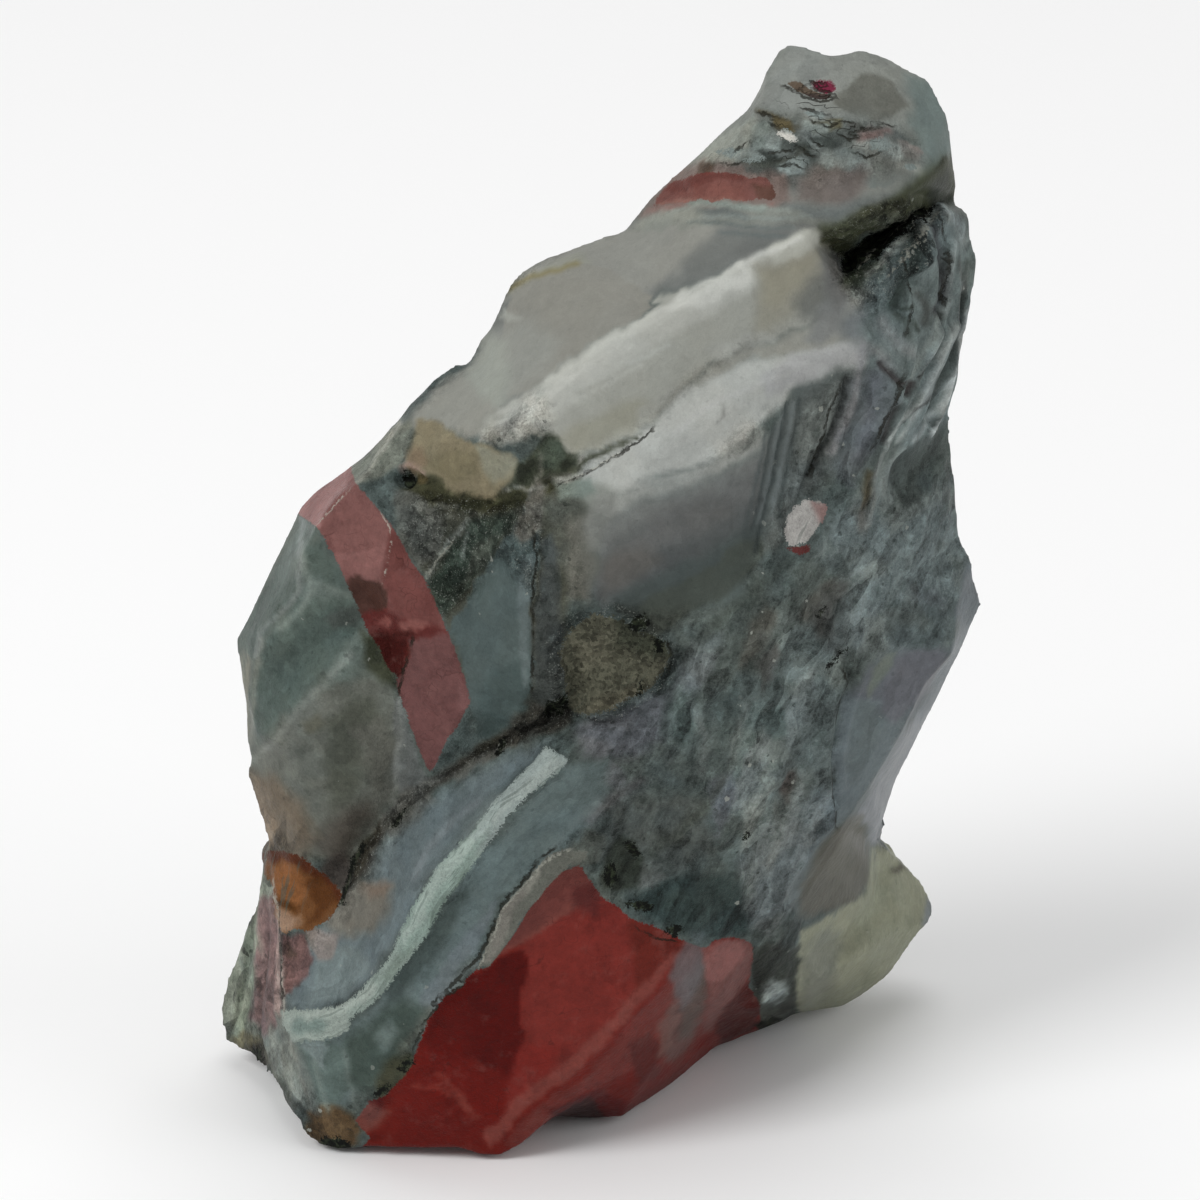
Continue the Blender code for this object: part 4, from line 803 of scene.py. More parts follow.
     "535,725 500,740 470,700 445,620 425,575 396,530"),
    ((88, 92, 88), 5, 1, "392,490 420,494 440,504 446,530 434,560 418,570 396,530"),
    ((58, 60, 44), 3, 1,
     "400,486 414,476 430,474 455,486 486,494 520,488 545,486 560,480 550,500 530,504 500,512 470,508 "
     "440,504 420,500"),
    ((122, 115, 94), 3, 1,
     "407,463 410,450 415,430 418,420 438,424 458,435 473,445 490,446 512,450 521,461 512,481 499,494 "
     "486,496 455,489 429,475 418,471"),
    ((112, 106, 84), 5, 0.8, "420,462 450,452 474,456 480,474 460,482 436,474"),
    ((128, 112, 92), 4, 0.8, "407,463 411,450 424,450 428,462 418,470"),
    ((131, 132, 117), 4, 0.9, "478,448 512,451 520,461 510,478 496,484 484,470"),
    ((74, 68, 47), 1.5, 1, "414,481 418,470 427,473 431,481 422,486"),
    ((58, 64, 53), 3, 1,
     "510,487 519,461 530,452 547,433 560,435 567,450 582,456 578,464 556,474 543,484 530,490"),
    ((74, 86, 76), 3, 0.8, "536,452 548,438 560,440 566,456 552,470 540,470"),
    ((30, 34, 26), 2, 0.8, "520,462 532,454 536,462 528,476 518,484"),
    ((30, 34, 26), 2, 0.7, "556,462 566,456 574,462 562,472"),
    ((60, 71, 63), 4, 1,
     "473,522 486,514 510,512 516,524 503,540 497,556 477,583 450,612 438,612 427,583 446,560 460,540"),
    ((78, 82, 74), 4, 0.7, "484,540 500,536 492,560 474,584 462,590 470,566"),
    ((74, 86, 85), 1.2, 1,
     "541,474 534,488 525,506 512,530 499,554 486,576 464,612 447,630 462,660 470,700 480,735 498,742 "
     "515,722 530,690 533,660 532,618 535,575 537,536 541,524 536,508"),
    ((98, 98, 92), 3, 1, "541,474 534,488 525,506 514,530 520,540 534,534 541,524 548,500"),
    ((64, 77, 76), 8, 0.9, "478,690 500,668 530,660 530,700 508,738 485,735"),
    ((90, 101, 101), 2, 0.9, "521,560 532,552 533,600 530,640 529,680 522,690 521,640"),
    ((66, 72, 71), 3, 1, "539,540 552,530 560,560 562,610 560,680 556,712 535,725 522,715 532,690 536,610"),
    ((74, 78, 72), 6, 1, "545,498 575,496 590,512 588,560 572,580 560,560 552,530"),
    ((98, 100, 94), 6, 1, "568,520 590,512 598,540 596,580 588,600 570,598"),
    ((112, 124, 118), 4, 0.9, "556,486 572,478 592,478 596,492 580,500 562,500"),
    ((118, 121, 117), 6, 0.9, "588,506 600,494 616,492 618,508 608,530 600,548 590,546 586,524"),
    ((66, 70, 58), 1.5, 0.9,
     "565,467 584,460 604,452 624,441 640,432 642,435 626,445 606,457 586,465 568,472"),
    # Face left of the red band
    ((86, 94, 88), 6, 1,
     "225,640 262,560 300,500 322,535 350,590 380,650 398,690 412,735 430,770 405,800 390,830 350,860 "
     "290,860 250,800 230,740"),
    ((80, 90, 85), 3, 1, "235,640 304,508 318,526 308,545 303,580 289,602 262,638 253,680 247,749 238,740"),
    ((98, 108, 103), 6, 0.8, "296,512 312,522 306,550 296,580 280,600 284,560"),
    ((77, 89, 84), 5, 1,
     "306,545 322,540 350,590 366,618 350,640 326,668 296,700 258,740 252,690 266,640 290,606 305,582"),
    ((70, 83, 79), 6, 0.9, "330,606 366,616 350,642 326,646 306,680 284,690 276,668 300,630"),
    ((88, 99, 95), 5, 0.9, "300,584 318,578 336,588 344,598 328,602 312,598 302,604"),
    ((64, 71, 68), 4, 0.9, "326,618 352,602 366,612 356,626 336,626"),
    ((100, 112, 106), 7, 0.85, "328,672 344,648 356,632 366,650 358,672 336,690 322,694"),
    ((52, 56, 42), 5, 0.9, "362,628 376,640 394,668 398,688 386,684 370,668 362,652"),
    ((120, 120, 108), 3, 0.9, "244,650 252,660 250,700 248,742 242,730 240,690"),
    ((90, 94, 88), 6, 1,
     "250,760 290,716 330,684 376,676 398,694 404,740 396,800 350,850 290,860 262,850 245,780"),
    ((106, 110, 104), 7, 0.7, "252,766 290,722 326,690 340,700 310,730 280,760 262,778"),
    ((72, 76, 68), 8, 0.9, "330,722 350,700 372,700 384,720 370,760 352,800 334,812 326,780"),
    ((84, 82, 66), 5, 0.5, "302,722 316,716 328,726 318,734 304,732"),
    ((90, 92, 86), 6, 0.9, "350,728 380,716 396,740 390,800 372,806 366,770"),
    ((72, 69, 63), 12, 1, "316,836 344,812 366,800 372,816 352,850 350,872 334,866"),
    ((98, 90, 78), 9, 1, "246,770 275,775 300,800 318,836 300,856 262,856 250,810"),
    ((114, 101, 87), 12, 0.7, "244,772 258,780 272,820 275,852 262,852 248,800"),
    ((94, 98, 96), 2.5, 1, "396,700 402,700 410,735 424,770 430,782 412,800 398,796 394,760"),
    ((60, 56, 52), 6, 1, "322,868 345,846 354,864 350,890 340,900 330,884"),
    # Valley, bench and flank
    ((66, 66, 61), 5, 1,
     "345,905 352,860 400,795 450,762 500,732 530,700 570,705 575,725 520,745 470,770 420,805 385,845 "
     "360,900"),
    ((96, 98, 94), 3, 0.8, "372,830 396,800 420,782 440,770 446,778 424,794 402,812 384,840"),
    ((44, 42, 34), 3, 0.8, "352,862 364,838 378,824 384,834 370,856 356,884"),
    ((88, 90, 87), 3, 0.8, "452,774 476,756 500,744 506,752 484,768 462,784"),
    ((42, 42, 35), 3, 0.8, "470,752 492,736 504,732 500,744 482,758"),
    ((92, 94, 90), 4, 0.9, "390,810 420,790 440,800 420,825 395,840"),
    ((94, 106, 109), 8, 1,
     "362,895 380,850 420,815 470,780 520,750 552,742 500,790 460,835 430,880 405,925 372,980 330,1008 "
     "290,1010 285,985 310,950 330,925"),
    ((108, 120, 120), 8, 1, "312,985 325,945 360,950 372,968 345,1000 300,1012"),
    ((106, 104, 96), 9, 1, "343,892 366,886 394,884 390,908 376,930 345,936 330,926"),
    ((118, 100, 86), 6, 0.6, "366,888 384,880 394,884 386,896 370,900"),
    ((94, 108, 108), 6, 1,
     "545,775 570,762 610,760 600,810 570,850 535,870 500,900 470,960 435,1000 400,1050 340,1110 "
     "300,1080 295,1040 350,1030 400,975 430,925 465,870 505,825"),
    ((62, 73, 71), 6, 0.9, "420,935 445,900 470,880 450,935 415,985 380,1015 390,975"),
    ((104, 114, 118), 3, 0.8,
     "430,985 455,950 490,905 500,905 470,955 440,1000 420,1024 400,1034 412,1008"),
    ((64, 77, 72), 8, 1, "345,1040 400,1000 430,1010 400,1060 370,1090 345,1085"),
    ((88, 104, 100), 7, 0.9, "300,1045 345,1045 350,1080 335,1110 315,1100"),
    ((122, 136, 136), 2, 0.9, "305,1044 326,1042 330,1067 318,1060 308,1052"),
    ((108, 122, 120), 5, 0.7, "372,1030 392,1022 402,1035 385,1052"),
    ((58, 60, 46), 5, 0.95, "372,1085 385,1062 412,1052 418,1070 400,1085 378,1100"),
    ((82, 66, 46), 4, 1, "305,1112 330,1100 352,1110 362,1130 348,1148 310,1140"),
    ((103, 80, 78), 2.5, 1, "284,935 308,935 314,962 311,974 287,997 284,965"),
    ((84, 68, 60), 2, 0.8, "286,944 292,942 300,954 296,960 288,954"),
    ((130, 122, 117), 3, 0.9, "308,932 341,932 334,956 320,962 314,950"),
    # Layered side
    ((112, 120, 111), 4, 1,
     "262,850 275,850 280,935 283,1000 290,1030 300,1060 305,1100 262,1065 225,1050 215,990 232,920"),
    ((122, 134, 120), 3, 0.8, "250,905 262,860 268,900 255,960 246,1040 232,1040 236,980"),
    ((112, 92, 92), 4, 0.95, "262,900 278,895 284,960 282,1015 264,1040 252,1020 256,960"),
    ((148, 130, 126), 2.5, 0.8, "275,905 281,905 286,1010 280,1012"),
    ((88, 84, 64), 3, 0.8, "228,1035 246,1030 262,1046 240,1055"),
    ((108, 116, 112), 5, 0.9, "283,1012 300,1040 320,1110 300,1110 268,1062 262,1040"),
    ((40, 38, 32), 4, 0.9, "246,1050 262,1046 266,1066 252,1068"),
    # Low on the face, above the red
    ((48, 60, 59), 7, 1, "630,900 660,884 700,872 745,880 752,930 715,938 675,930 645,918"),
    ((70, 76, 74), 8, 0.9, "610,800 700,790 715,850 680,870 640,880 600,860"),
    ((50, 56, 50), 3, 1, "600,882 604,862 612,840 620,830 632,838 644,856 640,866 640,884 622,894 606,890"),
    ((98, 106, 107), 8, 0.9, "740,860 770,820 810,830 800,900 770,935 748,925"),
]

# Red parts. The tones also fill the ground around them, where they don't show.
RED_TONE = (100, 22, 14)
RED = [
    ((112, 40, 34), 14, 1, "519,895 600,880 661,930 690,950 660,1000 600,1050 540,1090 519,1080"),
    ((100, 52, 47), 2, 1,
     "480,966 505,943 530,903 545,880 575,858 592,880 606,896 580,908 548,926 520,944 500,956 484,970"),
    ((122, 66, 58), 3, 0.7, "487,962 510,946 536,930 560,912 574,900 568,912 540,932 512,950 492,964"),
    ((80, 32, 30), 5, 0.8, "574,890 596,884 606,900 596,914 578,908"),
    # The red face: darker on the left, partly the red's tone and partly painted shade in the gap under the
    # grey layer and on the left facet.
    ((76, 6, 2), 2, 1,
     "430,1000 486,968 508,957 522,950 530,960 522,984 519,1010 521,1040 516,1070 510,1080 490,1068 "
     "470,1056 446,1050 428,1060"),
    ((84, 10, 4), 6, 0.8, "425,1040 445,1000 470,1000 470,1060 430,1070"),
    ((96, 18, 11), 9, 1, "400,1080 428,1052 470,1064 516,1076 510,1100 500,1140 400,1150"),
    ((113, 34, 28), 6, 1, "519,1040 560,1050 540,1084 506,1110 506,1080 516,1060"),
    ((94, 32, 24), 5, 0.9, "628,920 650,924 684,942 676,956 650,985 636,1000 634,960"),
    # Pale stripe along the red crest: partly painted highlight on the crest.
    ((122, 62, 55), 3, 0.9,
     "680,952 660,978 642,1004 614,1038 578,1068 548,1092 520,1112 500,1140 488,1148 484,1136 510,1102 "
     "536,1080 566,1060 600,1028 628,998 650,974 672,948"),
    ((104, 42, 36), 3, 1,
     "684,956 664,984 646,1008 620,1040 584,1072 552,1096 524,1116 504,1144 520,1150 560,1112 600,1090 "
     "640,1060 676,1010 700,952"),
    ((80, 28, 24), 3, 0.9, "628,1042 648,1034 660,1050 656,1076 644,1092 632,1072"),
    ((92, 20, 12), 4, 1, "600,1086 630,1078 664,1080 680,1062 690,1074 640,1114 616,1112"),
    # Dark underside below the red face: painted shade where it turns down toward the floor.
    ((64, 10, 7), 3, 1, "622,1110 600,1092 575,1098 548,1112 560,1122 620,1122"),
    ((96, 66, 61), 7, 1, "668,1004 684,972 700,950 712,956 710,1000 694,1044 676,1062 660,1060"),
    ((84, 74, 69), 6, 0.9, "682,984 700,958 710,962 704,1000 690,1036 680,1036"),
    ((108, 82, 76), 4, 0.8, "656,1020 672,1000 680,1010 672,1046 656,1060"),
    ((104, 66, 62), 3, 1, "708,1000 712,950 730,938 755,942 752,975 735,1000 715,1030 700,1040"),
    ((66, 14, 9), 3, 1, "715,1030 728,1002 746,984 762,1000 750,1030 720,1045"),
    ((70, 16, 16), 4, 0.9, "366,1096 382,1090 385,1112 372,1124 360,1112"),
    ((128, 92, 84), 5, 0.6, "350,1110 372,1100 392,1110 380,1130 356,1134"),
    ((122, 56, 48), 1.5, 0.5, "438,1070 450,1078 462,1092 470,1110 466,1112 456,1096 446,1084 436,1076"),
    ((122, 60, 52), 1.5, 0.5, "412,1080 440,1084 462,1096 482,1120 476,1122 456,1102 436,1090 412,1086"),
    # Left band
    ((116, 79, 75), 4, 1, "280,480 360,440 420,500 400,600 340,620 300,560"),
    ((143, 108, 105), 2, 1, "290,525 300,490 345,462 358,474 337,497 322,518 316,528"),
    ((124, 86, 82), 4, 0.8, "330,558 352,552 376,546 388,545 380,574 356,578 342,572"),
    ((103, 61, 57), 2, 1,
     "391,518 440,560 500,640 442,634 412,644 398,640 382,614 389,596 381,577 389,545"),
    # Darker socket in the red band: partly painted shade in the recess.
    ((68, 44, 37), 1.5, 1, "340,592 352,580 358,577 376,576 388,590 385,605 364,618 346,608"),
    ((84, 36, 33), 3, 1, "350,618 384,606 400,618 442,628 444,636 412,644 372,638"),
    ((130, 84, 78), 1.5, 0.8, "398,622 412,618 430,624 424,630 404,630"),
    ((60, 20, 16), 1.2, 0.8, "386,630 396,627 404,630 414,628 420,632 412,636 400,634 390,637"),
    ((128, 80, 74), 1.2, 0.7, "378,618 386,615 392,620 386,624"),
    ((60, 20, 16), 1.2, 0.7, "372,640 384,637 396,642 384,646"),
    ((132, 92, 88), 1.2, 0.6, "330,556 342,553 356,552 372,547 384,548 372,551 356,556 342,558"),
    ((134, 92, 88), 1.2, 0.6, "352,566 366,562 382,556 384,559 368,566 354,570"),
    ((62, 18, 14), 2, 1, "366,632 390,634 412,641 404,660 396,690 376,660"),
    ((101, 67, 65), 2, 1, "412,642 442,632 500,640 500,710 440,790 400,790 380,720 399,676"),
    ((120, 84, 82), 2.5, 0.7, "462,686 474,700 474,712 462,714 458,702"),
    # Upper patch
    ((108, 70, 64), 8, 1, "630,215 650,170 780,165 790,215"),
    ((80, 54, 44), 3, 0.9, "750,184 776,183 780,202 762,202"),
    ((136, 100, 90), 3, 0.8, "655,204 676,198 700,195 740,195 744,203 700,205 660,210"),
    ((92, 50, 44), 2, 0.7, "664,190 684,178 700,172 742,173 744,179 704,181 676,192"),
    ((118, 74, 66), 4, 0.6, "676,192 700,182 740,184 745,195 700,200"),
    ((104, 32, 54), 3, 1, "808,72 842,76 848,100 806,96"),
    # Spots
    ((92, 46, 44), 3, 1, "780,540 815,540 815,560 780,560"),
    ((112, 86, 84), 3, 1, "808,498 835,498 835,530 808,530"),
    # The dark underside below the red face again, its dark red and near-black painted shade.
    ((78, 12, 10), 3, 1, "550,1130 558,1110 576,1099 600,1089 628,1102 634,1112 628,1130"),
    ((34, 5, 5), 3, 0.9, "556,1130 560,1112 578,1102 592,1099 602,1116 600,1130"),
    ((100, 96, 98), 5, 0.8, "686,938 702,936 704,960 698,985 686,1006 674,1000 668,980 676,955"),
    ((134, 88, 84), 3, 0.8, "700,945 722,938 740,942 742,956 730,970 716,980 706,984 704,962"),
]
RED_OUTLINES = [
    (25,
     "355,482 375,505 388,520 400,540 412,562 425,580 435,600 445,625 455,650 465,680 470,703 458,725 "
     "448,738 434,768 428,769 420,750 412,730 400,695 397,688 398,675 392,672 383,660 378,645 368,632 "
     "360,612 350,590 337,560 322,533 316,526 296,512 300,470 330,440 352,468"),
    (25,
     "418,1046 428,1020 445,995 461,985 475,968 486,967 500,950 515,930 530,905 545,885 560,871 580,865 "
     "590,880 600,895 615,905 630,918 650,925 672,934 692,944 706,948 712,940 728,936 742,938 752,944 "
     "752,960 748,985 758,1000 760,1025 740,1060 600,1180 420,1190 352,1160 370,1138 356,1120 370,1100 "
     "386,1095 401,1080 412,1065"),
    (4,
     "654,206 658,197 664,190 672,182 684,179 700,173 722,172 742,175 752,179 764,176 772,184 776,196 "
     "770,200 758,198 744,202 728,199 712,202 700,199 684,203 670,203"),
    (4, "811,81 819,78 829,81 835,86 836,92 828,93 818,89"),
    # The dark underside below the red face, whose dark red is painted shade.
    (70, "548,1109 562,1104 576,1098 600,1088 630,1100 640,1112 626,1128 552,1128"),
    (4, "785,547 800,545 809,543 806,552 795,553"),
]

# Pale or stony parts with a clear border: mint vein, ledge, sandy patch, amber corner and small flecks.
PALE_TONE = (146, 160, 152)
PALE = [
    ((156, 168, 164), 5, 1, "535,745 580,745 570,790 500,850 470,850 490,800"),
    ((140, 158, 149), 8, 1, "450,840 490,820 470,880 430,940 400,960 400,920"),
    ((154, 165, 157), 6, 1, "270,1000 350,1000 350,1045 280,1050"),
    ((112, 130, 124), 4, 0.8, "296,1020 316,1018 330,1022 326,1032 306,1034 296,1030"),
    ((160, 170, 165), 3, 0.9, "545,752 565,760 530,790 505,812 495,824 492,818 515,785"),
    ((166, 180, 172), 2, 0.8,
     "441,868 469,837 497,803 503,806 478,838 452,870 430,902 412,932 402,944 404,930 422,896"),
    ((166, 176, 168), 2.5, 0.8, "296,1011 340,1009 356,998 372,980 378,984 362,1004 345,1014 310,1017"),
    ((116, 132, 124), 2, 0.7,
     "562,764 540,784 520,806 500,832 484,856 488,858 504,836 526,810 546,788 566,769"),
    ((156, 168, 165), 2, 0.6, "545,753 522,775 500,800 472,834 476,838 504,806 526,782 552,757"),
    ((108, 124, 114), 2.5, 0.7, "466,866 448,890 430,918 424,926 430,930 446,904 462,884 472,870"),
    ((112, 126, 116), 2.5, 0.6, "410,944 396,960 380,980 390,982 404,966 416,948"),
    ((104, 106, 98), 5, 1, "470,975 480,930 530,850 600,845 600,880 540,900 500,985"),
    ((146, 146, 136), 1.2, 0.9,
     "480,964 486,945 495,925 505,905 522,888 535,872 541,866 540,880 525,896 512,915 504,940 492,960"),
    ((112, 108, 102), 1.2, 0.5, "482,960 492,935 505,905 520,890 526,895 510,925 492,962"),
    ((92, 92, 78), 6, 1, "545,600 690,600 690,730 545,730"),
    ((62, 66, 54), 7, 0.8, "612,612 670,625 672,655 640,650 615,640"),
    ((110, 108, 92), 6, 0.7, "570,640 600,628 610,655 585,670"),
    ((104, 100, 84), 5, 0.7, "600,700 640,680 655,690 610,712 585,712"),
    # Amber corner: its dark strip along the top, under the valley groove, is partly painted shade, and its
    # pale lower left partly painted sheen.
    ((108, 70, 38), 5, 1, "262,840 360,840 360,940 262,940"),
    ((78, 38, 16), 3, 1, "262,844 300,846 330,872 348,896 340,902 326,886 304,868 286,860 264,860"),
    ((134, 88, 52), 5, 0.9, "276,866 292,864 306,876 312,896 300,908 284,906 276,890"),
    ((84, 48, 18), 4, 0.9, "306,878 318,872 336,894 340,902 322,922 308,926 318,906"),
    ((78, 46, 16), 2, 0.8, "274,900 290,904 304,908 296,912 280,908"),
    ((154, 126, 104), 4, 1, "275,908 292,912 304,918 300,930 280,936 272,920"),
    ((186, 186, 180), 3, 1, "775,120 805,120 805,145 775,145"),
    ((168, 166, 162), 4, 1, "770,495 830,495 830,560 770,560"),
    ((136, 112, 108), 4, 1, "813,498 836,500 832,524 818,532 814,520"),
    ((88, 76, 64), 3, 1, "780,80 842,80 842,108 780,108"),
    ((52, 42, 38), 1, 1, "786,88 797,94 809,99 820,103 833,104 840,98 832,95 820,97 808,93 797,89"),
    ((56, 46, 42), 1, 0.9, "806,92 820,93 836,96 832,102 818,101 806,97"),
    ((126, 136, 133), 3, 1, "698,140 780,104 870,104 935,150 935,180 840,180 700,172"),
    ((208, 206, 198), 3, 1, "777,132 799,132 799,145 777,145"),
]
PALE_OUTLINES = [
    (6,
     "284,1010 312,1011 340,1008 356,996 368,984 391,956 402,928 422,894 441,866 469,835 497,801 "
     "523,773 545,751 548,749 568,759 552,774 534,790 509,813 489,844 469,869 441,905 424,940 402,967 "
     "382,995 366,1008 352,1017 349,1030 329,1038 295,1040 286,1028"),
    (3,
     "478,964 484,948 491,930 502,905 519,889 527,878 536,867 549,856 566,849 588,850 586,860 570,864 "
     "555,878 542,893 527,910 514,932 500,950 489,966"),
    (9,
     "560,640 567,631 580,621 592,613 612,613 625,619 640,628 655,633 667,642 670,656 665,668 654,681 "
     "640,690 625,699 610,709 592,715 576,712 566,700 560,682 557,660"),
    (6,
     "268,850 290,851 302,855 317,866 332,881 344,894 340,906 335,914 326,923 311,932 296,929 285,933 "
     "277,920 275,884 266,870"),
    (3, "779,134 784,131 791,133 797,138 797,143 790,143 783,140"),
    (3, "784,537 786,522 795,509 806,499 815,500 824,503 826,512 818,523 809,534 801,543 788,546"),
    (3, "788,85 792,82 800,82 809,86 822,91 832,95 829,99 819,98 809,95 797,91"),
    (2, "804,113 815,111 828,115 822,119 810,118"),
    (2, "786,164 795,158 803,160 801,168 792,172"),
    (2, "866,143 880,140 892,146 884,152 870,150"),
    (2, "900,166 912,163 920,168 910,171"),
    (2, "742,160 758,154 766,158 752,163"),
    (2, "716,152 732,148 744,152 730,157"),
]

# Near-black parts. The first, in the crevice, is a painted shadow under its overhang.
DARK_OUTLINES = [
    (3,
     "838,257 850,241 868,226 885,216 905,206 925,200 938,209 930,222 915,234 900,247 885,259 868,268 "
     "850,278 841,279"),
    (2, "399,478 402,470 409,470 413,476 411,484 403,485"),
    (2, "541,711 546,700 556,693 566,692 568,701 558,710 548,716"),
    (2, "497,757 500,741 505,735 508,743 503,755"),
    (4, "314,1148 322,1138 340,1136 352,1146 345,1156 318,1156"),
    (2, "340,905 348,880 352,858 364,842 368,846 356,868 352,890 346,906"),
    (2, "394,830 402,815 409,808 410,813 401,828"),
    (2, "398,1068 410,1056 414,1062 406,1072"),
    (2, "374,1096 380,1086 390,1084 387,1093"),
    (2, "604,880 606,868 612,864 618,870 618,882 610,888"),
    (2, "622,842 630,840 638,848 642,856 634,858"),
    (2, "246,1052 258,1048 262,1062 252,1066"),
    (2, "752,1022 770,1014 782,1018 762,1032"),
    (2, "622,902 640,900 656,906 650,912 634,910"),
    (2, "664,928 676,924 684,930 672,938"),
    (2, "742,838 747,828 749,834 745,842"),
    (2, "630,616 634,611 648,613 646,624 636,628 628,624"),
    (2, "652,636 660,634 664,642 658,648 652,644"),
    (2, "824,665 834,656 846,646 848,648 836,659 826,668"),
    (2, "814,616 818,609 824,606 820,616"),
    (2, "634,690 640,680 644,682 638,694"),
    (2, "552,714 560,706 567,708 562,716"),
]

# Bands in the stone behind what the picture shows: a drawn point in the middle, the way across the band,
# half its thickness and how far it reaches, in millimetres.
RED_SLABS = [((-8, 30, 14), (0.5, 0.2, 0.84), 3.0, 17), ((14, 88, 12), (0.8, 0.1, -0.6), 1.6, 13)]
PALE_SLABS = [((10, 52, 18), (0.6, -0.2, 0.75), 0.8, 24), ((-14, 62, 12), (0.2, 0.5, 0.84), 3.0, 5)]
DARK_SLABS = [((4, 66, 16), (0.45, 0.3, -0.84), 0.15, 26), ((-6, 40, 16), (-0.7, 0.2, 0.68), 0.1, 22)]

